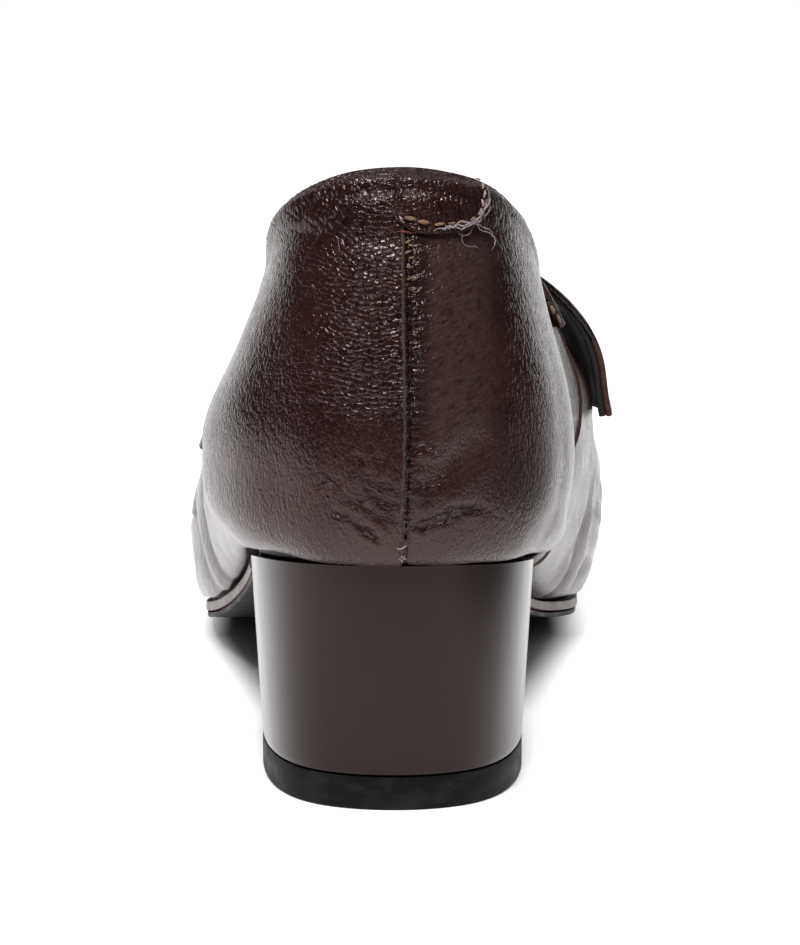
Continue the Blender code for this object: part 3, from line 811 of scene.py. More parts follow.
# creases, in millimetres; the middle point bends each one
# startAcross, startHeight, midAcross, midHeight, endAcross, endHeight, width, depth
counterCreases = [
    [-4.9, 57.1, -1.2, 55.1, 1.6, 54.5, 0.40, 0.26],
    [-5.1, 55.8, -2.3, 53.5, 1.6, 52.3, 0.45, 0.32],
    [-6.5, 53.9, -5.1, 53.6, -3.8, 52.0, 0.45, 0.30],
    [-8.0, 53.2, -3.8, 51.2, -0.7, 48.7, 0.45, 0.32],
    [-2.9, 52.8, -1.8, 52.5, -0.4, 52.0, 0.45, 0.34],
    [-2.6, 50.9, -1.0, 50.6, 0.6, 50.0, 0.40, 0.26],
    [-7.6, 50.5, -5.3, 49.5, -3.8, 48.3, 0.40, 0.24],
    [-3.8, 48.3, -2.9, 47.4, -2.1, 46.1, 0.40, 0.22],
    [-5.8, 49.0, -4.7, 47.7, -3.5, 46.6, 0.40, 0.20],
    [-12.3, 56.0, -10.1, 56.0, -8.0, 55.6, 0.40, 0.20],
    [-6.6, 57.4, -5.8, 57.2, -4.9, 57.2, 0.40, 0.22],
    [-9.6, 50.9, -9.0, 50.3, -8.0, 50.2, 0.40, 0.18],
    [-6.3, 59.7, -5.5, 59.7, -4.7, 59.6, 0.55, 0.22],
    [-2.8, 59.6, -2.3, 59.5, -1.6, 59.5, 0.50, 0.20],
    [3.2, 48.9, 5.8, 49.8, 9.0, 51.3, 0.45, 0.34],
    [9.0, 51.3, 11.4, 51.6, 15.4, 50.7, 0.45, 0.26],
    [4.2, 48.0, 6.6, 49.3, 11.1, 50.3, 0.45, 0.34],
    [4.2, 53.4, 5.5, 53.7, 6.6, 53.8, 0.40, 0.20],
    [3.3, 55.6, 5.8, 55.7, 8.2, 56.4, 0.50, 0.30],
    [5.8, 56.2, 9.0, 58.4, 12.7, 61.6, 2.20, 0.50],
    [3.3, 61.4, 5.0, 61.6, 7.4, 61.1, 0.50, 0.18],
]
# the same on the forepart's sides: alongs instead of acrosses; side -1 lateral, 1 medial
# side, startAlong, startHeight, midAlong, midHeight, endAlong, endHeight, width, depth
sideCreases = [
    [-1, 98, 34, 95, 26, 79, 17, 4.2, 1.35],
    [-1, 74, 39, 73, 29, 62, 21, 3.6, 1.25],
    [-1, 112, 15, 122, 23, 136, 37, 2.4, 1.15],
    [-1, 120, 10, 131, 17, 146, 31, 2.0, 0.8],
    [-1, 104, 20, 112, 30, 122, 42, 2.6, 0.8],
    [-1, 134, 9, 143, 15, 154, 25, 2.0, 0.35],
    [1, 107, 29, 105, 20, 111, 11, 3.0, 1.45],
    [1, 93, 24, 90, 17, 95, 9, 3.0, 1.25],
    [1, 100, 33, 89, 25, 78, 21, 2.4, 0.8],
    [1, 103, 22, 116, 27, 131, 35, 2.6, 1.15],
    [1, 117, 11, 127, 18, 139, 27, 2.2, 1.05],
    [1, 108, 14, 119, 20, 134, 30, 2.0, 0.7],
    [1, 131, 8, 140, 14, 150, 24, 2.0, 0.40],
]
# height, across: where the back seam runs
backSeamLine = [[38, 1.2], [46, 1.4], [54, 1.8], [64, 2.1], [78, 1.95], [94, 1.8], [108, 1.7]]
upperLook = {
    # mm: the collar's bead along the topline, the crevice and shoulder under it
    "beadRise": 0.25, "rimDrop": 0.9, "beadDrop": 3.7, "creviceDepth": 0.40, "shoulderRise": 0.22,
    "backTilt": 1.25,  # mm the collar leans in at the back
    # mm: a hollow low on the lateral quarter, a bulge under the strap's medial end
    "hollow": 1.2, "strapBulge": 3.0,
    # mm: the dip under the padded collar at the back and the roll over it
    "pinchHeight": 94.0, "pinchDepth": 0.45, "rollDepth": 0.40,
    # mm: the back seam's groove and its stitches
    "seamDepth": 0.5, "stitchPitch": 2.1, "firstStitch": 83.4, "seamLip": 0.14, "pucker": 0.26,
    "slackWave": 0.18,
    # how deep the counter's creases and the forepart's folds are, against their tables
    "wrinkleDepth": 1.5, "foldDepth": 0.6,
    # mm: the vamp's cut edge over the quarters, and how far ahead its step is lost
    "vampStep": 0.5, "vampEdgeWidth": 0.3, "vampFade": 32.0,
    # how low that edge runs on each side, against the wall's lower half
    "vampLowest": {False: -0.05, True: -0.85},
    "rimReach": 0.45,  # roundness of the collar's edge
    "lowRows": 26, "highRows": 84, "apronRows": 10,
}
# side, mm taken in where the leather lies closer, then where that starts, is full, ends and is
# gone: along the shoe and in height
takenIn = [
    [-1, 0.8, -99, -98, 60, 85, 42, 56, 84, 98],
    [1, 1.8, -22, -8, 60, 82, 36, 47, 62, 98],
    [-1, 0.55, 80, 105, 998, 999, -9, -8, 24, 38],
    [1, 0.9, 90, 112, 998, 999, -9, -8, 8, 24],
]


def seamAcross(heights):
    table = np.array(backSeamLine)
    return splineThrough(table[:, 0], table[:, 1], heights)[:, 0]


def creaseRelief(a, h, creases):
    # Each crease is a bent line: a trough along it with a faint ridge either side.
    relief = np.zeros_like(a)
    for startA, startH, midA, midH, endA, endH, width, depth in creases:
        share = np.linspace(0, 1, 13)[:, None]
        control = 2 * np.array([midA, midH]) - 0.5 * np.array([startA + endA, startH + endH])
        line = (
            (1 - share) ** 2 * np.array([startA, startH])
            + 2 * share * (1 - share) * control
            + share**2 * np.array([endA, endH])
        )
        near = (
            (a > line[:, 0].min() - 4 * width) & (a < line[:, 0].max() + 4 * width)
            & (h > line[:, 1].min() - 4 * width) & (h < line[:, 1].max() + 4 * width)
        )
        if not near.any():
            continue
        spots = np.stack([a[near], h[near]], axis=1)[:, None, :]
        begin, finish = line[None, :-1], line[None, 1:]
        run = finish - begin
        t = np.clip(((spots - begin) * run).sum(-1) / (run**2).sum(-1), 0, 1)
        gaps = np.linalg.norm(spots - begin - run * t[..., None], axis=-1)
        nearest = np.argmin(gaps, axis=1)
        picked = np.arange(len(gaps))
        gap = gaps[picked, nearest]
        travelled = (nearest + t[picked, nearest]) / (len(line) - 1)
        strength = np.sin(np.pi * np.clip(0.08 + 0.84 * travelled, 0, 1)) ** 0.6
        shape = -bell(gap, width) + 0.35 * bell(gap - 1.9 * width, 0.9 * width)
        relief[near] += depth * strength * shape
    return relief


toplineGuide = wallPoints(
    "back", np.linspace(openingKnots[0], openingKnots[-1], 400), np.ones(400)
) / mm


def underTopline(points):
    # How far below the topline each point is, in millimetres, judged by x and y together.
    guide = toplineGuide[:, :2]
    drop = np.full(len(points), 99.0)
    near = (points[:, 1] < 0.09) & (points[:, 2] > 0.045)
    spots = points[near, :2] / mm
    nearest = np.argmin(((spots[:, None, :] - guide[None]) ** 2).sum(-1), axis=1)
    drop[near] = toplineGuide[nearest, 2] - points[near, 2] / mm
    return drop


def sideFolds(x, y, z):
    # The forepart's folds on both sides, as relief.
    relief = np.zeros_like(x)
    rows = np.array(sideCreases, float)
    for side in (-1, 1):
        picked = (y > 50) & (side * (x - 3) > 0)
        relief[picked] = creaseRelief(y[picked], z[picked], rows[rows[:, 0] == side][:, 1:])
    return relief


def between(value, start, full, ending, gone):
    return smoothStep(start, full, value) * smoothStep(gone, ending, value)


def skinRelief(points):
    # How far the outer skin stands off its smooth form, in millimetres: humps and troughs added.
    look = upperLook
    x, y, z = points.T / mm
    relief = np.zeros_like(x)
    back = y < 26
    fade = 1 - smoothStep(6, 26, y)
    wrinkles = creaseRelief(x[back], z[back], counterCreases) * look["wrinkleDepth"]
    relief[back] += wrinkles * (fade * (y < 5))[back]
    # the padded collar: a bead along the topline, a shoulder under it, then a shallow dip
    drop = underTopline(points)
    ahead = 1 - smoothStep(60, 84, y)
    rim = smoothStep(2.2, -0.4, drop) ** 2
    relief += ahead * (look["beadRise"] * bell(drop - 1.9, 1.5) - look["rimDrop"] * rim)
    relief -= look["backTilt"] * fade * bell(x, 13) * smoothStep(5.5, -0.4, drop) ** 2
    under = drop - look["beadDrop"]
    shape = look["shoulderRise"] * bell(under - 1.9, 1.1) - look["creviceDepth"] * bell(under, 0.8)
    relief += ahead * (0.25 + 0.75 * bell(x + 1, 9) * fade) * shape
    level = z + 0.32 * np.maximum(y + 18, 0) - look["pinchHeight"]
    pinch = bell(level, 1.8) * (0.25 + 0.75 * smoothStep(4, -2, x))
    relief += fade * (look["rollDepth"] * bell(level - 5, 3.5) - look["pinchDepth"] * pinch)
    # the back seam: a groove pinched at each stitch, and the gathers to the right of it
    apart = x - seamAcross(z)
    onBack = (y < -10) * (1 - smoothStep(95.5, 97.0, z))
    wander = 0.22 * np.sin(0.9 * z) + 0.14 * np.sin(2.3 * z + 1)
    turn = 2 * np.pi * (z + wander - look["firstStitch"]) / look["stitchPitch"]
    ridge = np.clip(np.cos(turn), 0, 1) ** 2
    groove = -look["seamDepth"] * bell(apart - 0.55, 0.45) * (1 - 0.45 * ridge)
    lip = look["seamLip"] * bell(apart + 0.4, 0.8)
    lip = lip + 0.12 * smoothStep(0.2, -0.6, apart) * bell(apart, 7)
    reach = 1.0 + 0.9 * smoothStep(62, 80, z) + 0.4 * np.sin(1.7 * z)
    pucker = bell(apart - 1.9, reach) * (look["pucker"] * ridge - 0.12)
    relief += onBack * (groove + lip + pucker * (0.25 + 0.75 * smoothStep(54, 74, z)))
    # fullness taken in, a hollow low on the lateral quarter, and a bulge under the strap's end
    sides = {-1: smoothStep(-8, -20, x), 1: smoothStep(12, 24, x)}
    for side, depth, *spans in takenIn:
        relief -= sides[side] * depth * between(y, *spans[:4]) * between(z, *spans[4:])
    relief -= sides[-1] * look["hollow"] * bell(z - 40, 6) * (1 - smoothStep(30, 55, y))
    relief += sides[1] * look["strapBulge"] * bell(y - 105, 12) * bell(z - 55, 9)
    # slack in the counter, and the folds of the forepart
    waves = np.sin(0.33 * x + 0.21 * z) * np.sin(0.17 * z - 0.25 * x)
    return relief + look["slackWave"] * fade * waves + look["foldDepth"] * sideFolds(x, y, z)


def leatherMasks(points):
    # How strongly each pattern of the grain shows at a point, from 0 to 1.
    x, y, z = points.T / mm
    behind = 1 - smoothStep(-6, 22, y)
    onSeam = (y < -10) * (z < 96)
    strong = smoothStep(60, 70, z) * (0.35 + 0.65 * bell(x + 4, 9)) * behind
    patch = between(x, 3.5, 7.0, 12, 19) * between(z, 52, 66, 92, 97)
    collar = smoothStep(11, 7, underTopline(points))
    crackle = np.clip(0.25 + 0.75 * strong - 0.9 * patch, 0.08, 1)
    apart = x - seamAcross(z)
    gather = between(apart, -0.1, 0.4, 2.0, 4.2) * onSeam * (0.15 + 0.85 * smoothStep(56, 76, z))
    groove = bell(apart - 0.6, 0.45) * onSeam
    slits = np.array([row for row in counterCreases if row[6] < 1])
    slits[:, 6:] = 1.0, 0.8
    return {
        "crackle": np.maximum(crackle, collar * behind * (0.3 + 0.6 * bell(x, 14))),
        "stretch": np.clip(collar * (1 - 0.7 * bell(x, 9) * (y < 0)) + 1 - strong, 0, 1),
        # the gathers and the seam's groove: pleated bumps, and painted shade in them
        "gather": np.clip(gather + 1.4 * groove, 0, 1),
        # painted sheen on the patch by the seam and, fainter, low on the counter; none in the
        # seam's groove
        "paintedSheenAndRubs": np.clip(0.8 * patch + 0.12 * smoothStep(66, 50, z) * behind - 2 * groove, 0, 1),
        "grain": 1 - 0.6 * smoothStep(64, 80, z) * smoothStep(12, 20, np.abs(x)) * behind,
        # where the counter's slits get painted shade
        "wrinkle": np.clip(-creaseRelief(x, z, slits), 0, 1) * (y < 5) * behind,
        # painted shade: how much the glaze's specular level is cut in the forepart's folds
        "fold": np.clip(-1.2 * sideFolds(x, y, z), 0, 0.8),
    }


def backPlaces():
    # Places round the back, closest at the seam, wide apart along the quarters.
    fine = np.linspace(openingKnots[0], openingKnots[-1], 6000)
    away = np.abs(fine / mm)
    gapWanted = (
        0.20 + 0.20 * smoothStep(2.0, 4.5, np.abs(fine / mm + 1.8))
        + 0.35 * smoothStep(16, 30, away) + 1.1 * smoothStep(34, 60, away)
    )
    steps = np.concatenate([[0], np.cumsum(np.diff(fine) / mm / gapWanted[1:])])
    return np.interp(np.linspace(0, steps[-1], int(steps[-1]) + 1), steps, fine)


def buildUpper():
    look = upperLook
    heights = np.concatenate([np.linspace(-1, 0, look["lowRows"] + 1),
                              np.linspace(0, 1, look["highRows"] + 1)[1:]])
    places = backPlaces()
    u, w = (grid.ravel() for grid in np.meshgrid(places, heights, indexing="ij"))
    lateral, medial = (
        wallAt(side, bentDistance(np.abs(u), w, side), w) for side in (False, True)
    )
    points = [np.where((u < 0)[:, None], medial, lateral)]
    quads = [gridQuads(len(places), len(heights))]
    steps, cuts = [np.zeros(u.size)], [np.zeros(len(quads[0]))]
    # places between the sections of the front, closer together by the throat
    numbers = np.concatenate([np.linspace(throatRow, 8, 22), np.linspace(8.25, toeRow, 40)])
    over = np.linspace(0, 1, look["apronRows"] + 1)
    for medial in (False, True):
        throat, cut = throatDistance[medial], look["vampEdgeWidth"] * mm
        reached = distanceOfRow(numbers, medial)
        reached = np.concatenate([[throat, throat + cut, throat + 1.3 * cut], reached[1:]])
        d, w = np.meshgrid(reached, heights, indexing="ij")
        start = sum(len(block) for block in points)
        points.append(wallAt(medial, bentDistance(d.ravel(), w.ravel(), medial), w.ravel()))
        quads.append(gridQuads(*d.shape, flipped=medial, start=start))
        # the vamp's cut edge: a step up that fades towards the toe
        past = (d - throat) / mm
        lowest = look["vampLowest"][medial]
        height = smoothStep(0.0, look["vampEdgeWidth"], past)
        height = height * (1 - smoothStep(5, look["vampFade"], past))
        height = height * smoothStep(lowest - 0.2, lowest, w)
        steps.append((look["vampStep"] * height).ravel())
        strip = np.zeros((d.shape[0] - 1, d.shape[1] - 1))
        strip[0] = heights[:-1] > lowest
        cuts.append(strip.ravel())
        rows = np.interp(reached, np.r_[reached[[0, 3]], reached[4:]], numbers)
        seam = seamShare(rows, medial)[:, None]
        seam[0] = cornerShare[medial]
        v = seam + (1 - seam) * over
        # the grid above the seam starts on the same points as the one below it ends
        start += d.size
        part = "medial" if medial else "lateral"
        points.append(wallPoints(part, np.repeat(rows, len(over)), v.ravel()))
        quads.append(gridQuads(*v.shape, flipped=medial, start=start))
        height = height[:, -1:] * smoothStep(0.5, 0.1, over)[None, :]
        steps.append((look["vampStep"] * height).ravel())
        cuts.append(np.zeros((v.shape[0] - 1) * (v.shape[1] - 1)))
    points, quads, first = weld(np.concatenate(points), np.concatenate(quads))
    steps = np.concatenate(steps)[first]
    normals = sheetNormals(points, quads)
    outer = points + normals * ((skinRelief(points) + steps) * mm)[:, None]
    inner = points - normals * last["wall"]
    footed = points[:, 2] < soleHeight(points[:, 1]) + 0.001
    reach = np.where(footed, 0.0, look["rimReach"])
    points, faces, zones = shellOf(outer, inner, quads, rimRows=6, rimReach=reach, softening=3)
    zones = np.where(zones == 2, 1, 0)
    zones[: len(quads)] = np.where(np.concatenate(cuts) > 0, 2, 0)
    makePiece("upper_leather", points, faces, [goatskin, liningLeather, brownEdge], zones,
              replaces=["upper"], values=leatherMasks(points))


print("stage: upper")
buildUpper()


# what lies on the back: seam strip, tab, stitches and loose threads
backLook = {
    # mm: the tab, where its top corners lie across the back, how far it sinks along its stitches
    "tabThickness": 0.85, "tabTop": (-7.0, 13.7), "tabWidth": 20, "tabHeight": 9.5,
    "rightBulge": 0.85, "rightDip": 0.25, "lowerDip": 0.28, "tabColumns": 130, "tabRows": 60,
    # mm: the strip along the back seam and the stitches beside it, across from the seam's line
    "stripFrom": 43.4, "stripTo": 97.4, "stripWidth": 0.56, "stripHeight": 0.10,
    "stripAside": 0.28, "stitchAside": 0.52, "bridgeAside": 0.55, "stitchesFrom": 44.5,
}
# across and height along the tab's lower edge
tabLowerEdge = [[-7.0, 97.4], [-3.5, 97.2], [0.3, 96.7], [2.6, 95.2], [5.8, 94.5], [9.7, 94.7],
                [12.0, 95.2], [12.9, 95.9]]


def placesOnBack(across, heights):
    # Finds the back's surface under given x and z, then the skin's height there.
    across, heights = np.asarray(across, float), np.asarray(heights, float)

    def reading(points):
        return points[:, [0, 2]]

    wanted = np.stack([across, heights], axis=1) * mm
    guessV = np.clip((heights - 59) / 47, -0.9, 0.97)
    u, v = findOnWall("back", reading, wanted, across * mm * 1.08, guessV)
    points = wallPoints("back", u, v)
    return points, wallNormals("back", u, v), skinRelief(points)


def toplineHeight(across):
    order = np.argsort(toplineGuide[:, 0])
    near = toplineGuide[order][toplineGuide[order][:, 1] < 40]
    return np.interp(across, near[:, 0], near[:, 2])


def tabThicknessAt(across, heights):
    # The tab's own height: full inside its edges, nothing outside them.
    knots = np.array(tabLowerEdge)
    lower = np.interp(across, knots[:, 0], knots[:, 1])
    inside = smoothStep(-0.05, 0.25, heights - lower) * smoothStep(-1.5, 1.5, across)
    return backLook["tabThickness"] * inside * smoothStep(14.4, 14.1, across)


def buildTab():
    knots = np.array(tabLowerEdge)
    s = np.linspace(0, 1, backLook["tabColumns"] + 1)
    path = lengthAlong(knots)
    lower = splineThrough(path / path[-1], knots, s)
    topX = np.interp(s, [0, 1], backLook["tabTop"])
    upper = np.stack([topX, toplineHeight(topX) - 0.15], axis=1)
    t = np.linspace(0, 1, backLook["tabRows"] + 1)
    t = t - 0.06 * np.sin(2 * np.pi * t)
    flat = lower[:, None, :] * (1 - t)[None, :, None] + upper[:, None, :] * t[None, :, None]
    flat[:, :, 0] += backLook["rightBulge"] * (s**5)[:, None] * (4 * t * (1 - t))[None, :]
    base, normals, relief = placesOnBack(flat[:, :, 0].ravel(), flat[:, :, 1].ravel())
    across, upward = np.repeat(s, len(t)), np.tile(t, len(s))
    fadeLeft = smoothStep(0.28, 0.44, across)
    fadeTop = 1 - smoothStep(0.80, 1.0, upward)
    dip = backLook["rightDip"]
    thick = (backLook["tabThickness"] + dip) * fadeLeft * fadeTop - dip
    # stitched down along its lower and right edges, so it dips there
    edgeGap, rightGap = upward * backLook["tabHeight"], (1 - across) * backLook["tabWidth"]
    thick -= backLook["lowerDip"] * bell(edgeGap - 1.25, 0.55) * fadeLeft
    thick += 0.10 * bell(edgeGap - 0.35, 0.4) * fadeLeft
    thick -= dip * bell(rightGap - 1.2, 0.6) * fadeTop
    outer = base + normals * ((relief + thick) * mm)[:, None]
    inner = base + normals * ((relief + np.minimum(thick, 0) - 0.3) * mm)[:, None]
    points, faces, _ = shellOf(outer, inner, gridQuads(len(s), len(t)), rimReach=0.5)
    none = np.zeros(len(points))
    makePiece("collar_tab", points, faces[:, ::-1], [goatskin],
              values={"crackle": none + 0.95, "stretch": np.tile(0.1 + 0.7 * across, 2),
                      "gather": none, "paintedSheenAndRubs": none, "grain": none + 1, "fold": none,
                      "wrinkle": none})


def stitchMesh(centres, directions, normals, lengths, widths, lift=0.35, twist=2.2):
    # Short twisted stitches: each a tube that rises in the middle and dives in at its ends.
    rings, around = 9, 8
    share = np.linspace(-0.5, 0.5, rings)
    angle = np.linspace(0, 2 * np.pi, around, endpoint=False)
    directions, normals = unit(directions), unit(normals)
    side = np.cross(directions, normals)
    size = np.clip(1 - np.abs(2 * share) ** 5, 0.35, 1)
    turn = angle[None, :] - twist * np.pi * share[:, None]
    radius = size[:, None] * (1 + 0.13 * np.cos(2 * turn))
    rise = ((1 - np.abs(2 * share) ** 2.6) * lift)[None, :, None]
    # along, aside and out of the leather: stitch by stitch, ring by ring, round the ring
    along = share[None, :, None] * lengths[:, None, None]
    half = radius[None] * widths[:, None, None] / 2
    aside = np.cos(angle)[None, None, :] * half
    out = np.sin(angle)[None, None, :] * half + rise * widths[:, None, None]
    points = centres[:, None, None, :] + (
        directions[:, None, None, :] * along[..., None]
        + side[:, None, None, :] * aside[..., None]
        + normals[:, None, None, :] * out[..., None]
    )
    here, beside, after, across = tubeCorners(rings, around)
    one = np.stack([here, after, across, beside], axis=1)
    starts = np.arange(len(centres))[:, None, None] * rings * around
    sides = (one[None] + starts).reshape(-1, 4).tolist()
    first = (np.arange(around)[None] + starts[:, :, 0]).tolist()
    final = (np.arange(around)[::-1][None] + (rings - 1) * around + starts[:, :, 0]).tolist()
    return points.reshape(-1, 3), sides + first + final


def stitchesOnBack(name, table, material, lift=0.35, over=0.0):
    # Each row: across, height, angle from level in degrees, length, width. All but the angle
    # are in millimetres, and so is how far the whole stitch stands off; lift is in its widths.
    x, z, angle, length, width = np.array(table, float).T
    base, normals, relief = placesOnBack(x, z)
    ahead, _, _ = placesOnBack(x + 0.3 * np.cos(np.radians(angle)),
                               z + 0.3 * np.sin(np.radians(angle)))
    directions = unit(ahead - base)
    normals = unit(normals - directions * (normals * directions).sum(1)[:, None])
    centres = base + normals * ((relief + tabThicknessAt(x, z) + over) * mm)[:, None]
    points, faces = stitchMesh(centres, directions, normals, length * mm, width * mm, lift)
    makePiece(name, points, faces, [material])


def threadOnBack(across, heights, lift, width, wobble, seed):
    # A loose thread: a round tube along a smooth line that stands off the leather by lift, mm.
    knots = np.linspace(0, 1, len(across))
    count = 14 * len(across)
    line = splineThrough(knots, np.stack([across, heights, lift], 1), np.linspace(0, 1, count))
    rng = np.random.default_rng(seed)
    ripple = rng.normal(0, 1, (len(across) * 3, 2))
    ripple = splineThrough(np.linspace(0, 1, len(ripple)), ripple, np.linspace(0, 1, count))
    line[:, :2] += ripple * wobble
    base, normals, relief = placesOnBack(line[:, 0], line[:, 1])
    tops = relief + tabThicknessAt(line[:, 0], line[:, 1]) + line[:, 2]
    path = base + normals * (tops * mm)[:, None]
    angle = np.linspace(0, 2 * np.pi, 7, endpoint=False)
    profile = np.stack([np.cos(angle), np.sin(angle)], axis=1) * width * mm / 2
    taper = np.clip(np.minimum(np.linspace(0, 6, count), np.linspace(6, 0, count)), 0.35, 1)
    return sweep(path, normals, profile, taper)


def looseThreads(name, strands, material, firstSeed):
    # Each strand: x, z and how far off the leather along it, its width and its wobble, in mm.
    points, faces, start = [], [], 0
    for seed, strand in enumerate(strands, firstSeed):
        block, polygons = threadOnBack(*strand, seed)
        points.append(block)
        faces += [[index + start for index in polygon] for polygon in polygons]
        start += len(block)
    makePiece(name, np.concatenate(points), faces, [material])


def buildSeamStrip():
    heights = np.linspace(backLook["stripFrom"], backLook["stripTo"], 420)
    waver = np.sin(heights * 1.1) + 0.7 * np.sin(heights * 2.7 + 1) + 0.5 * np.sin(heights * 4.9)
    centre = seamAcross(heights) - backLook["stripAside"] + 0.05 * waver
    half = backLook["stripWidth"] / 2 * smoothStep(-0.2, 1.6, heights - backLook["stripFrom"])
    half = half * (1 + 0.32 * np.sin(heights * 2.9) * np.sin(heights * 1.3))
    share = np.linspace(-1, 1, 9)
    x = centre[:, None] + share * half[:, None]
    z = np.broadcast_to(heights[:, None], x.shape)
    base, normals, relief = placesOnBack(x.ravel(), z.ravel())
    rough = 0.05 * np.sin(z * 5.1 + x * 3) * np.sin(z * 2.3)
    tops = backLook["stripHeight"] * (1 - 0.5 * share**2)[None, :] + rough
    outer = base + normals * ((relief.reshape(x.shape) + tops).ravel() * mm)[:, None]
    inner = base + normals * ((relief - 0.35) * mm)[:, None]
    quads = gridQuads(*x.shape, flipped=True)
    points, faces, _ = shellOf(outer, inner, quads, rimRows=3, rimReach=0.3)
    makePiece("back_seam_edge", points, faces[:, ::-1], [tanEdge])


def buildBackStitches():
    # thread along the back seam: dark below, tan and slacker near the tab
    pitch, first = upperLook["stitchPitch"], upperLook["firstStitch"]
    heights = first + pitch / 2 - pitch * np.arange(0, 19)
    across, lowest = seamAcross(heights) + backLook["stitchAside"], backLook["stitchesFrom"]
    rows = [[x, z, 90, 1.35, 0.42] for x, z in zip(across, heights) if z > lowest]
    stitchesOnBack("back_seam_stitches", rows, darkThread, lift=0.1, over=-0.05)
    # a short bridge of thread across the groove between the stitches
    heights = first - pitch * np.arange(0, 18)
    across = seamAcross(heights) + backLook["bridgeAside"]
    rows = [[x, z, 25 * np.sin(3 * z), 0.8 + 0.15 * np.sin(5 * z), 0.26]
            for x, z in zip(across, heights) if z > lowest]
    stitchesOnBack("back_seam_bridges", rows, brownThread, lift=0.2, over=-0.02)
    tan = [
        [2.35, 93.5, 25, 1.10, 0.42], [2.85, 92.9, -15, 1.00, 0.40], [2.3, 91.9, 20, 1.05, 0.38],
        [2.9, 91.0, 12, 1.00, 0.36], [2.5, 89.6, -10, 1.10, 0.34], [2.7, 87.9, 30, 1.2, 0.32],
    ]
    stitchesOnBack("back_seam_tan_stitches", tan, tanThread, lift=0.4, over=0.15)
    red = [[1.6, 95.0, -4, 1.7, 0.36], [2.9, 94.9, 6, 1.5, 0.34], [2.15, 86.9, 40, 0.8, 0.30],
           [2.5, 86.3, -50, 0.7, 0.24]]
    stitchesOnBack("back_seam_red_stitches", red, redThread, lift=0.4, over=0.12)


def buildTabStitches():
    tan = [
        [2.6, 96.9, -10, 1.85, 0.60], [4.55, 96.3, -8, 1.85, 0.62], [7.1, 95.95, 6, 1.7, 0.52],
        [9.0, 96.0, 3, 1.35, 0.44], [10.6, 96.2, 10, 1.3, 0.42], [12.1, 96.6, 30, 1.1, 0.38],
    ]
    stitchesOnBack("tab_stitches", tan, tanThread, lift=0.42, over=-0.12)
    cream = [
        [13.1, 97.6, 64, 1.3, 0.40], [13.45, 98.9, 100, 1.3, 0.38], [13.65, 100.3, 80, 1.3, 0.38],
        [13.55, 101.6, 98, 1.2, 0.34], [13.5, 102.9, 84, 1.1, 0.32],
    ]
    stitchesOnBack("tab_side_stitches", cream, creamThread, lift=0.4, over=-0.05)


def buildLooseThreads():
    strands = [
        ([6.3, 8.0, 10.2, 12.4, 13.6, 14.3], [95.1, 95.3, 95.6, 96.4, 98.1, 100.2],
         [0.25, 0.5, 0.6, 0.7, 0.6, 0.4], 0.28, 0.10),
        ([7.2, 9.3, 11.2, 12.9, 13.9, 14.6], [94.9, 95.2, 95.2, 96.8, 98.9, 100.8],
         [0.2, 0.45, 0.7, 0.8, 0.7, 0.4], 0.22, 0.12),
        ([8.6, 10.4, 12.0, 13.2, 13.8], [95.5, 96.1, 95.8, 97.4, 99.4],
         [0.3, 0.6, 0.8, 0.9, 0.6], 0.20, 0.14),
        ([11.9, 12.6, 13.3, 14.1, 14.9, 15.6, 15.7, 15.3],
         [96.7, 96.0, 94.9, 94.5, 94.1, 93.4, 92.4, 91.5],
         [0.7, 0.8, 0.7, 0.8, 0.9, 0.8, 0.7, 0.4], 0.15, 0.05),
        ([12.2, 12.9, 13.5, 14.4, 15.2, 15.8], [96.2, 95.7, 95.2, 94.8, 94.4, 93.7],
         [0.9, 1.0, 0.9, 0.9, 0.7, 0.4], 0.16, 0.06),
        ([10.9, 10.7, 11.0, 11.8, 12.8, 13.4], [95.4, 94.1, 93.0, 92.4, 92.3, 92.0],
         [0.6, 0.5, 0.4, 0.4, 0.4, 0.3], 0.08, 0.03),
        ([9.9, 10.6, 11.3, 11.9, 12.4], [94.8, 94.2, 94.1, 94.5, 95.5],
         [0.5, 0.7, 0.8, 0.8, 0.8], 0.11, 0.06),
        ([13.2, 13.9, 14.4, 14.6], [96.6, 97.4, 97.8, 97.5], [0.7, 0.8, 0.7, 0.5], 0.10, 0.05),
        ([12.6, 12.8, 12.7, 12.4], [97.5, 96.7, 96.1, 95.5], [0.5, 0.9, 1.0, 0.8], 0.18, 0.06),
        ([13.9, 14.2, 14.0, 14.3], [98.2, 99.3, 100.6, 101.9], [0.3, 0.5, 0.4, 0.3], 0.09, 0.09),
        ([12.8, 13.6, 14.0, 14.7], [96.0, 96.9, 97.9, 98.6], [0.9, 1.0, 0.9, 0.6], 0.07, 0.10),
    ]
    looseThreads("tab_loose_threads", strands, frayThread, 5)
    ends = [
        ([0.5, 1.3, 2.1], [45.3, 45.1, 45.3], [0.1, 0.3, 0.1], 0.20, 0.03),
        ([1.1, 1.5, 1.7], [43.9, 43.4, 42.9], [0.2, 0.3, 0.2], 0.16, 0.05),
        ([1.6, 1.8, 2.1], [43.8, 43.3, 43.0], [0.2, 0.35, 0.2], 0.14, 0.05),
        ([0.9, 1.2, 1.3], [43.6, 43.2, 42.7], [0.15, 0.25, 0.1], 0.12, 0.05),
    ]
    looseThreads("seam_loose_ends", ends, creamThread, 25)


throatLook = {
    "middle": (30.3, 82.0, 69.3), "length": 5.4, "width": 1.5,  # mm, the scrap of lining
    # mm along the scrap, then length and width of each of its stitches
    "stitches": [[-1.25, 1.8, 0.65], [1.15, 1.7, 0.62]],
}


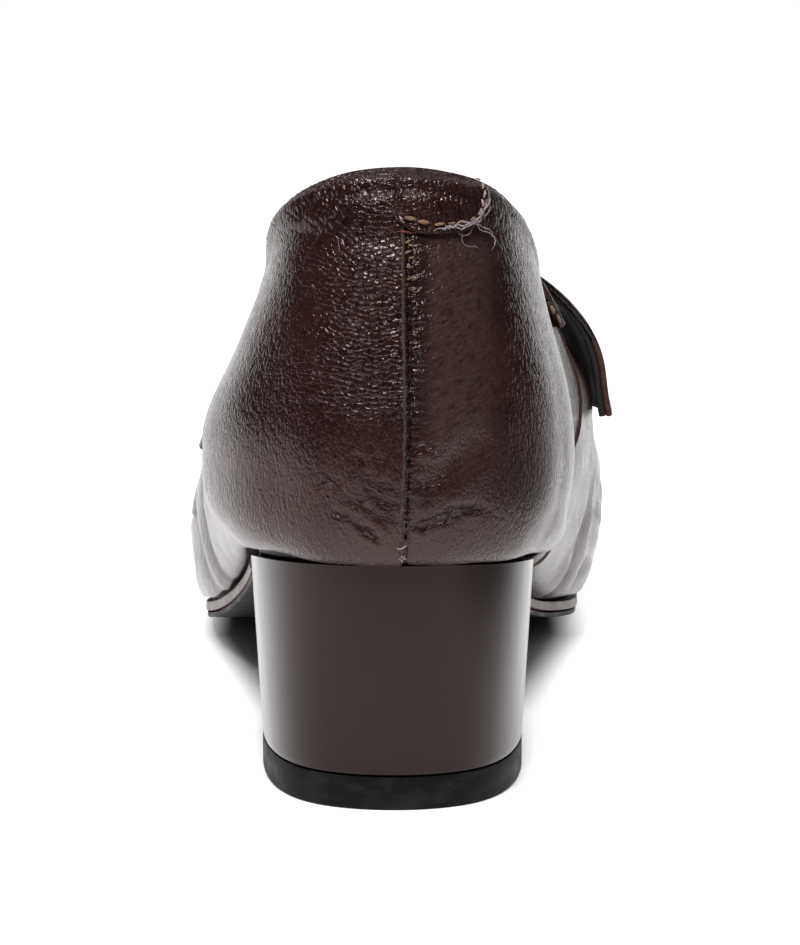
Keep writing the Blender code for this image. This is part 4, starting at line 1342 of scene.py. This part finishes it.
def buildThroatCorner():
    # a scrap of lining folded over the tongue's edge, held by two tan stitches
    along = unit(np.array([[2.7, 1.9, -4.0]]))
    toward = unit(np.array([[0.28, -0.93, -0.24]]))
    middle = np.array([throatLook["middle"]]) * mm
    length, width = (np.array([throatLook[key]]) * mm for key in ("length", "width"))
    points, faces = stitchMesh(middle, along, toward, length, width, lift=0.0, twist=0.0)
    makePiece("throat_scrap", points, faces, [tanEdge])
    side = np.cross(along, toward)
    places, lengths, widths = np.array(throatLook["stitches"]).T * mm
    centres = middle + along * places[:, None] + (side * 0.15 + toward * 0.95) * mm
    points, faces = stitchMesh(centres, unit(along + 0.25 * side).repeat(2, 0),
                               toward.repeat(2, 0), lengths, widths)
    makePiece("throat_stitches", points, faces, [tanThread])


print("stage: back seam and tab")
buildSeamStrip()
buildTab()
buildBackStitches()
buildTabStitches()
buildLooseThreads()
buildThroatCorner()


# the apron with its quilting
apronLook = {
    "thickness": 1.5,  # mm over the vamp at the stitched lines
    "pillow": 0.45,  # mm more in the middle of each diamond
    "diamond": 13.0,  # mm between lines, measured along the shoe
    "slant": 1.15,  # of those lines
    "lineDepth": 0.35, "borderDepth": 0.30,  # mm
    "rows": 46,
    "border": 4.0,  # mm left plain along the edge
    "stitchInset": 1.7, "stitchPitch": 3.6, "stitchLength": 2.5, "stitchWidth": 0.7,  # mm
}


def buildApron():
    rows = np.linspace(throatRow, toeRow, 150)
    share = np.linspace(0, 1, apronLook["rows"] + 1)
    points, quads, borders = [], [], []
    for part in ("lateral", "medial"):
        seam = seamShare(rows, part == "medial")[:, None]
        v = seam + (1 - seam) * share
        start = sum(len(block) for block in points)
        points.append(wallPoints(part, np.repeat(rows, len(share)), v.ravel()))
        shaped = points[-1].reshape(*v.shape, 3)
        across = np.cumsum(np.linalg.norm(np.diff(shaped, axis=1), axis=2), axis=1) / mm
        across = np.hstack([np.zeros((len(rows), 1)), across])
        fromBack = np.linalg.norm(shaped - shaped[:1], axis=2) / mm
        borders.append(np.minimum(across, fromBack).ravel())
        quads.append(gridQuads(*v.shape, flipped=part == "medial", start=start))
    points, quads, first = weld(np.concatenate(points), np.concatenate(quads))
    border = np.concatenate(borders)[first] - apronLook["border"]
    normals = sheetNormals(points, quads)
    x, y, _ = points.T / mm
    aside = apronLook["slant"] * (x - 5)
    a, b = (np.sin(np.pi * (y + side * aside) / apronLook["diamond"]) for side in (1, -1))
    lines = np.minimum(np.abs(a), np.abs(b))
    inside = smoothStep(-0.8, 1.2, border)
    puff = np.sqrt(np.abs(a * b))
    height = apronLook["thickness"] + apronLook["pillow"] * puff * inside
    height = height - apronLook["lineDepth"] * bell(lines, 0.10) * inside
    height = height - apronLook["borderDepth"] * bell(border, 0.5)
    inner = points + normals * last["gap"]
    outer = inner + normals * (height * mm)[:, None]
    points, faces, zones = shellOf(outer, inner, quads, rimReach=0.7)
    makePiece("apron_quilted", points, faces, [quiltedGoatskin, blackBacking],
              np.where(zones == 2, 1, 0), replaces=["apron"])


def buildApronStitches():
    # one row of hand stitches round the apron, a little inside its edge
    centres, directions, normals = [], [], []
    rows = np.linspace(throatRow + 0.05, toeRow, 900)
    for part in ("lateral", "medial"):
        seam = seamShare(rows, part == "medial")
        edge, inward = wallPoints(part, rows, seam), wallPoints(part, rows, seam + 0.01)
        step = np.linalg.norm(inward - edge, axis=1) / mm
        v = seam + 0.01 * apronLook["stitchInset"] / step
        line = wallPoints(part, rows, v)
        travelled = lengthAlong(line)
        count = int(travelled[-1] / mm / apronLook["stitchPitch"])
        at = (np.arange(count) + 0.5) * travelled[-1] / count
        here, ahead = (
            (np.interp(spots, travelled, rows), np.interp(spots, travelled, v))
            for spots in (at, at + 0.2 * mm)
        )
        middle, facing = wallPoints(part, *here), wallNormals(part, *here)
        lift = last["gap"] + (apronLook["thickness"] - 0.02) * mm
        centres.append(middle + facing * lift)
        directions.append(unit(wallPoints(part, *ahead) - middle))
        normals.append(facing)
    centres, directions, normals = map(np.concatenate, (centres, directions, normals))
    lengths = np.full(len(centres), apronLook["stitchLength"] * mm)
    widths = np.full(len(centres), apronLook["stitchWidth"] * mm)
    points, faces = stitchMesh(centres, directions, normals, lengths, widths)
    makePiece("apron_stitches", points, faces, [darkThread])


quiltedGoatskin = crackledLeather("quilted goatskin", masked=False, pebbled=0.12,
                                  tint=(1.05, 1.0, 1.0))
print("stage: apron")
buildApron()
buildApronStitches()


# the saddle strap
# angle from the vertical, then along, half width and clearance in millimetres
strapSections = [
    [-88, 107.0, 12.0, 0.5], [-76, 106.0, 12.5, 1.3], [-58, 105.0, 12.0, 2.2],
    [-35, 104.5, 10.5, 2.4], [0, 104.0, 9.5, 2.9], [33, 104.7, 10.3, 3.5], [46, 106.0, 10.4, 4.9],
    [56, 107.2, 9.9, 5.4], [68, 108.7, 9.6, 4.1], [76, 109.3, 9.6, 2.9], [80.5, 109.7, 9.5, 2.7],
]
strapLook = {
    "axisHeight": 40.0, "backing": 1.35, "leather": 1.25, "angles": 150, "across": 22,
    "farEdgeDrop": 1.3,  # mm that the edge towards the toe lies closer to the vamp
    "rawFrom": 60,  # degrees past which the folded edge is left raw
    "thinning": 0.38,  # share of the leather lost along its long edges
    # degrees over which the far edge draws closer, and the backing gets its full thickness
    "closing": (30, 65), "firming": (48, 66),
    "turnScale": 0.05,  # metres that one radian round the axis counts for in the search
}


def strapFace():
    # Points of the upper under the strap, and the direction away from the strap's axis.
    table = np.array(strapSections, float)
    angles = np.linspace(table[0, 0], table[-1, 0], strapLook["angles"] + 1)
    along, halfWidth, clearance = splineThrough(table[:, 0], table[:, 1:], angles).T
    across = np.linspace(-1, 1, strapLook["across"] + 1)
    theta, share = np.meshgrid(np.radians(angles), across, indexing="ij")
    ys = (along[:, None] + share * halfWidth[:, None]) * mm
    axis = strapLook["axisHeight"] * mm

    def reading(points):
        turned = np.arctan2(points[:, 0], points[:, 2] - axis)
        return np.stack([points[:, 1], turned * strapLook["turnScale"]], axis=1)

    wanted = np.stack([ys.ravel(), theta.ravel() * strapLook["turnScale"]], axis=1)
    guessV = np.clip(1 - np.abs(theta.ravel()) / 1.6, 0.03, 0.97)
    guessU = 7.6 - 1.6 * (1 - guessV)
    lateral, medial = (
        wallPoints(part, *findOnWall(part, reading, wanted, guessU, guessV))
        for part in ("lateral", "medial")
    )
    ridge = np.arctan2(0.005, 0.036)  # the angle at which the two sides of the vamp meet
    hit = np.where((theta.ravel() < ridge)[:, None], lateral, medial)
    direction = np.stack([np.sin(theta), np.zeros_like(theta), np.cos(theta)], axis=-1)
    # the exact ray: same angle and place along, at the distance of the point found
    distance = np.hypot(hit[:, 0], hit[:, 2] - axis).reshape(theta.shape)
    base = np.stack([np.zeros_like(ys), ys, np.full_like(ys, axis)], axis=-1)
    base = base + direction * distance[..., None]
    closer = strapLook["farEdgeDrop"] * smoothStep(-0.2, 1.0, share)
    closer = closer * smoothStep(*strapLook["closing"], angles)[:, None]
    return base, direction, (clearance[:, None] - closer)[..., None] * mm, np.degrees(theta)


def buildStrap():
    base, direction, clearance, angle = strapFace()
    inner = base + direction * clearance
    firm = strapLook["backing"] * (0.3 + 0.7 * smoothStep(*strapLook["firming"], angle))
    firm = firm[..., None]
    middle = inner + direction * firm * mm
    # the leather bellies a little and its long edges are rounded over
    share = np.linspace(-1, 1, strapLook["across"] + 1)[None, :, None]
    rawFrom = strapLook["rawFrom"]
    folded = smoothStep(rawFrom + 8, rawFrom - 8, angle)[..., None]
    belly = 1 - strapLook["thinning"] * share**4 * folded
    whole = strapLook["backing"] + strapLook["leather"]
    outer = middle + direction * (whole - firm) * mm * belly
    quads = gridQuads(*base.shape[:2], flipped=True)
    flat = [layer.reshape(-1, 3) for layer in (inner, middle, outer)]
    points, faces, _ = shellOf(flat[1], flat[0], quads, rimRows=4, rimReach=0.3)
    makePiece("strap_backing", points, faces, [blackBacking], sharpAngle=60)
    points, faces, zones = shellOf(flat[2], flat[1], quads, rimRows=6, rimReach=0.7)
    spots = points[faces].mean(axis=1)
    turned = np.degrees(np.arctan2(spots[:, 0], spots[:, 2] - strapLook["axisHeight"] * mm))
    kinds = np.where((zones == 1) & (turned > rawFrom), 1, 0)
    makePiece("strap_leather", points, faces, [strapLeather, brownEdge], kinds,
              replaces=["strap"], sharpAngle=60)


strapLeather = crackledLeather("strap goatskin", masked=False, pebbled=0.15,
                               tint=(0.45, 0.9, 0.95))
print("stage: strap")
buildStrap()


# sole layers and heel: strips across the shoe, stacked in levels
outlineTip = 0.00003  # metres by which an outline stops short of its own ends


def levelOutline(outset, breast=None):
    # Plan of one level, lateral and medial, at places closer together at its round ends. With
    # a breast it starts there, square, instead of round at the back.
    _, _, backEnd, frontEnd = planEdge(np.zeros(1), outset)
    half = np.linspace(0, 1, soleLook["points"])
    if breast is None:
        backEnd, share = backEnd + outlineTip, (1 - np.cos(np.pi * half)) / 2
    else:
        backEnd, share = breast, np.sin(np.pi / 2 * half)
    alongs = backEnd + (frontEnd - outlineTip - backEnd) * share
    lateral, medial, _, _ = planEdge(alongs, outset)
    return alongs, lateral, medial


def levelPoints(alongs, sides, heights):
    # One outline: for each place along, its lateral and its medial point.
    return np.stack([np.stack([x, alongs, z], axis=1) for x, z in zip(sides, heights)], axis=1)


def stackLevels(levels):
    # Closes a stack of outlines: sides between neighbours, strips over both ends.
    count = levels[0].shape[0]
    points = np.concatenate([level.reshape(-1, 3) for level in levels])
    border = np.concatenate([2 * np.arange(count), 2 * np.arange(count)[::-1] + 1])
    after = np.roll(border, -1)
    faces = []
    for k in range(len(levels) - 1):
        low, high = 2 * count * k, 2 * count * (k + 1)
        faces.append(np.stack([low + border, high + border, high + after, low + after], axis=1))
    i = np.arange(count - 1)
    top = np.stack([2 * i, 2 * i + 1, 2 * i + 3, 2 * i + 2], axis=1)
    faces += [top[:, ::-1], 2 * count * (len(levels) - 1) + top]
    return points, np.concatenate(faces)


soleLook = {
    "midsoleEdge": -0.4, "outsoleEdge": -0.7, "insoleEdge": -2.1, "breast": 24.3, "points": 220,
    # outset and height in mm: a thin lip under the sock enters the upper's wall, and over it the
    # sock curls down at its rim
    "lip": [(-2.1, 1.65), (0.2, 1.7), (0.2, 1.95)],
    "rim": [(-0.5, 2.35), (-1.3, 2.7), (-2.2, 2.93), (-3.2, 3.0)],
    "sockFrom": 1.9,  # mm above which the board is covered
}


def roundedEdge(low, high, outset, radius, steps=4):
    # Profile of a layer's edge, from its underside to its top, with rounded corners.
    angle = np.linspace(0, np.pi / 2, steps + 1)
    sine, cosine = radius * np.sin(angle), radius * np.cos(angle)
    lower = zip(outset - radius + sine, low + radius - cosine)
    upper = zip(outset - radius + cosine, high - radius + sine)
    return [*lower, *upper]


def edgeMaterial():
    # Burnished leather edge: fine lines along the layers under a waxed shine.
    edge = Surface("burnished edge", (0.10, 0.062, 0.052), 0.42, specular=0.4)
    lines = edge.noise(1, 4.0, edge.moved((60, 60, 2600)))
    edge.color(edge.ramp(lines, (0.3, (0.060, 0.036, 0.030)), (0.7, (0.13, 0.084, 0.070))))
    edge.rough(edge.range(edge.noise(200, 3.0), 0.3, 0.7, 0.36, 0.52))
    edge.bump((lines, 0.12, 0.00003))
    return edge.material


def rubberMaterial(name):
    # Moulded rubber: matt, finely pitted, greyer where it has rubbed.
    rubber = Surface(name, (0.012, 0.012, 0.012), 0.58, specular=0.07)
    scuffs = rubber.noise(180, 5.0, rubber.moved((1, 1, 2.5)))
    rubber.color(rubber.ramp(scuffs, (0.45, (0.006, 0.0057, 0.0057)), (0.8, (0.022, 0.021, 0.020))))
    rubber.rough(rubber.range(scuffs, 0.3, 0.75, 0.42, 0.68))
    rubber.bump((rubber.noise(1800, 3.0), 0.3, 0.00008), (rubber.noise(90, 2.0), 0.15, 0.0002))
    return rubber.material


def stackedLayer(profile, breast=None):
    # A layer of the sole from its edge's profile: outset and height in millimetres.
    levels = []
    for outset, height in profile:
        alongs, *sides = levelOutline(outset * mm, breast)
        levels.append(levelPoints(alongs, sides, [soleHeight(alongs) + height * mm] * 2))
    return stackLevels(levels)


def buildSole():
    look, gap, breast = soleLook, last["gap"] / mm, soleLook["breast"] * mm
    midLow = -gap - last["midsole"] / mm
    outLow = midLow - gap - last["outsole"] / mm
    points, faces = stackedLayer(roundedEdge(midLow, -gap, look["midsoleEdge"], 0.3), breast)
    makePiece("midsole_edge", points, faces, [edgeMaterial()],
              replaces=["midsole"], sharpAngle=40)
    profile = roundedEdge(outLow, midLow - gap, look["outsoleEdge"], 0.25)
    points, faces = stackedLayer(profile, breast)
    makePiece("outsole_rubber", points, faces, [rubberMaterial("sole rubber")],
              replaces=["outsole"], sharpAngle=40)
    corner = roundedEdge(0, last["insole"] / mm, look["insoleEdge"], 0.5)[:5]
    points, faces = stackedLayer(corner + look["lip"] + look["rim"])
    spots = points[faces].mean(axis=1)
    # faces this low show the board's edge in near-black painted shade
    low = spots[:, 2] - soleHeight(spots[:, 1]) < look["sockFrom"] * mm
    makePiece("insole_sock", points, faces, [liningLeather, shadedBoardEdge], low.astype(int),
              replaces=["insole"], sharpAngle=40)


print("stage: sole")
buildSole()

heelLook = {
    "breast": 24.0, "toeOfBase": 20.5, "backOfBase": -22.0, "seatWidth": 49.4, "baseWidth": 45.5,
    "inset": 0.75, "topPiece": 5.6, "points": 90, "levels": 26, "edgeRadius": 0.35,
    "seatDip": 0.6,  # mm that the seat drops towards the medial side
}


def heelOutline(share, shrink=0.0):
    # Plan of the heel: 0 at the seat, 1 at the ground end, straight lines between.
    inset = (heelLook["inset"] + shrink) * mm
    _, _, backEnd, _ = planEdge(np.zeros(1), -inset)
    backEnd = backEnd + outlineTip
    length = (heelLook["breast"] - shrink) * mm - backEnd
    spread = 1 - np.cos(np.pi / 2 * np.linspace(0, 1, heelLook["points"]))
    alongs = backEnd + length * spread
    lateral, medial, _, _ = planEdge(alongs, -inset)
    widthShare = 1 + share * (heelLook["baseWidth"] / heelLook["seatWidth"] - 1)
    baseBack = (heelLook["backOfBase"] + shrink) * mm
    baseFront = (heelLook["toeOfBase"] - shrink) * mm
    based = baseBack + (baseFront - baseBack) * (alongs - backEnd) / length
    return alongs + share * (based - alongs), (lateral * widthShare, medial * widthShare)


def buildHeel():
    base = heelLook["topPiece"] * mm + last["gap"]
    radius = heelLook["edgeRadius"]
    levels = []
    for shrink, rise in ((radius, 0.0), (0.3 * radius, 0.3 * radius), (0.0, radius)):
        alongs, sides = heelOutline(1.0, shrink)
        levels.append(levelPoints(alongs, sides, [np.full_like(alongs, base + rise * mm)] * 2))
    for share in np.linspace(1, 0, heelLook["levels"])[1:]:
        alongs, sides = heelOutline(share)
        seat = soleHeight(alongs) - last["gap"]
        dips = [heelLook["seatDip"] * mm * smoothStep(8, 24, x / mm) for x in sides]
        heights = [base + (seat - dip - base) * (1 - share) for dip in dips]
        levels.append(levelPoints(alongs, sides, heights))
    points, faces = stackLevels(levels)
    makePiece("heel_block", points, faces, [heelLacquer()],
              replaces=["heel"], sharpAngle=42)
    levels, top = [], heelLook["topPiece"]
    for shrink, height in ((0.6, 0.0), (0.18, 0.12), (0.0, 0.5), (0.0, top - 0.3), (0.12, top)):
        alongs, sides = heelOutline(1.0, shrink)
        levels.append(levelPoints(alongs, sides, [np.full_like(alongs, height * mm)] * 2))
    points, faces = stackLevels(levels)
    makePiece("top_piece_rubber", points, faces, [rubberMaterial("heel rubber")],
              replaces=["top_piece"], sharpAngle=42)


def heelLacquer():
    # Smooth brown lacquer, a little lighter towards the top, with hairline scuffs.
    lacquer = Surface("heel lacquer", (0.030, 0.014, 0.011), 0.2, specular=0.26, tint=glazeTint)
    shade = lacquer.range(lacquer.axes(lacquer.place)[2], 0.006, 0.042)
    ground = lacquer.ramp(shade, (0.0, (0.0085, 0.0042, 0.0036)), (1.0, (0.013, 0.0075, 0.0066)))
    cloud = lacquer.range(lacquer.noise(40, 3.0), 0.35, 0.7, 0.0, 0.25)
    lacquer.color(lacquer.mix(cloud, ground, (0.007, 0.0032, 0.0026)))
    scratches = lacquer.noise(1, 5.0, lacquer.moved((700, 700, 90)))
    lacquer.rough(lacquer.range(scratches, 0.35, 0.75, 0.17, 0.24))
    lacquer.bump((lacquer.noise(60, 2.0), 0.06, 0.0002))
    return lacquer.material


print("stage: heel")
buildHeel()

# camera, lights and floor
cameraLook = {
    "place": (0.00105, -0.582, 0.1499),  # metres
    "tilt": 9.515,  # degrees down
    "lens": 89.803175, "sensor": 24.0,  # mm
}


def addCamera():
    data = bpy.data.cameras.new("view")
    data.sensor_fit = "VERTICAL"
    data.sensor_height = cameraLook["sensor"]
    data.lens = cameraLook["lens"]
    data.clip_start = 0.01
    camera = addObject("view", data)
    camera.location = cameraLook["place"]
    camera.rotation_euler = (np.radians(90 - cameraLook["tilt"]), 0, 0)
    bpy.context.scene.camera = camera


# name, place, aimed at, width, height, power
lightTable = [
    ["sideLeft", (-0.62, 0.95, 0.40), (0, 0.02, 0.06), 0.7, 0.9, 1.1],
    ["sideRight", (0.62, 0.95, 0.40), (0, 0.02, 0.06), 0.7, 0.9, 1.1],
    ["overhead", (0.0, 0.10, 1.10), (0, 0.05, 0.05), 0.8, 0.6, 2.2],
    ["backTop", (-0.12, -0.50, 0.80), (0, 0.0, 0.08), 0.4, 0.16, 7.6],
]


def addLights():
    for name, place, aim, width, height, power in lightTable:
        data = bpy.data.lights.new(name, "AREA")
        data.shape = "RECTANGLE"
        data.size, data.size_y = width, height
        data.energy = power
        lamp = addObject(name, data)
        lamp.location = place
        facing = Vector(aim) - Vector(place)
        lamp.rotation_euler = facing.to_track_quat("-Z", "Y").to_euler()


# the room's light by direction; each fade is from, to, the value there and the value past it
roomLook = {
    "dimmest": 0.06, "brightest": 1.1,
    "low": (0.02, 0.26, 1.0, 0.14), "high": (0.45, 0.85, 0.0, 0.20),
    "whiteFrom": (-0.05, 0.10, 0.52, 0.68), "whiteAt": 0.95,
}


def addWorld():
    # A bright room, white low down behind the shoe, dim on the near side, a little light above.
    world = bpy.data.worlds.new("studio")
    bpy.context.scene.world = world
    world.use_nodes = True
    room = Nodes(world.node_tree)
    background = room.tree.nodes["Background"]
    x, y, z = room.axes(room.node("ShaderNodeTexCoord").outputs["Generated"])
    # the white starts further round on the medial side
    start = room.range(x, *roomLook["whiteFrom"], True)
    near = room.range(y, start, roomLook["whiteAt"], smooth=True)
    low = room.range(z, *roomLook["low"], True)
    high = room.range(z, *roomLook["high"], True)
    bright = room.larger(room.times(near, low), high)
    room.link(room.range(bright, 0.0, 1.0, roomLook["dimmest"], roomLook["brightest"]),
              background.inputs["Strength"])
    background.inputs["Color"].default_value = (1.0, 1.0, 1.0, 1.0)


floorLook = {
    "size": 12.0, "white": (0.93, 0.93, 0.93), "shade": (0.34, 0.34, 0.34), "glow": 0.85,
    "middle": 0.0010,  # metres that the dark strip under the shoe lies off the middle
    "strip": (0.045, 0.115, 0.0245, 0.0388),  # its half width at two places along the shoe
    # metres, each from and to: that strip's soft edge and its two ends
    "edge": (-0.007, 0.003), "heelEnd": (-0.045, 0.02), "toeEnd": (0.20, 0.28),
    # where the glow beside it starts, where it stops on the medial side, the glow far off
    "nearSide": (-0.16, -0.07), "medialSide": (0.07, 0.14), "medialEnd": (0.08, 0.20),
    "farSide": (0.25, 1.6),
    # where the shade on the near side fades, and where it turns on the medial side
    "shadeFade": (-0.34, -0.13), "shadeTurn": (0.08, 0.25),
}


def addFloor():
    # White paper that glows a little far behind the shoe and lies in shade on the near side.
    look, size, glow = floorLook, floorLook["size"], floorLook["glow"]
    mesh = bpy.data.meshes.new("floor")
    corners = [(-size, -size, 0), (size, -size, 0), (size, size, 0), (-size, size, 0)]
    mesh.from_pydata(corners, [], [[0, 1, 2, 3]])
    paper = Surface("studio floor", look["white"], 0.75, specular=0.2)
    paper.shader.inputs["Emission Color"].default_value = (1.0, 1.0, 1.0, 1.0)
    aside, along, _ = paper.axes(paper.place)
    half = paper.range(along, *look["strip"])
    across = paper.plus(aside, look["middle"])
    outside = paper.minus(paper.math("ABSOLUTE", across), half)
    beside = paper.range(outside, *look["edge"], 0.0, glow, True)
    behind = paper.range(along, *look["heelEnd"], glow, 0.0, True)
    ends = paper.larger(behind, paper.range(along, *look["toeEnd"], 0.0, glow))
    near = paper.times(paper.larger(beside, ends), paper.range(along, *look["nearSide"]))
    medial = paper.larger(paper.range(aside, *look["medialSide"], 1.0, 0.0),
                          paper.range(along, *look["medialEnd"]))
    far = paper.range(along, *look["farSide"], 0.0, glow)
    paper.set("Emission Strength", paper.larger(paper.times(near, medial), far))
    shaded = paper.minus(along, paper.range(aside, *look["shadeTurn"]))
    paper.color(paper.ramp(paper.range(shaded, *look["shadeFade"], smooth=True),
                           (0.0, look["shade"]), (1.0, look["white"])))
    paper.bump((paper.noise(400, 3.0), 0.05, 0.00005))
    mesh.materials.append(paper.material)
    floor = addObject("floor", mesh)


print("stage: studio")
addCamera()
addLights()
addWorld()
addFloor()
bpy.context.scene.view_settings.view_transform = "Standard"
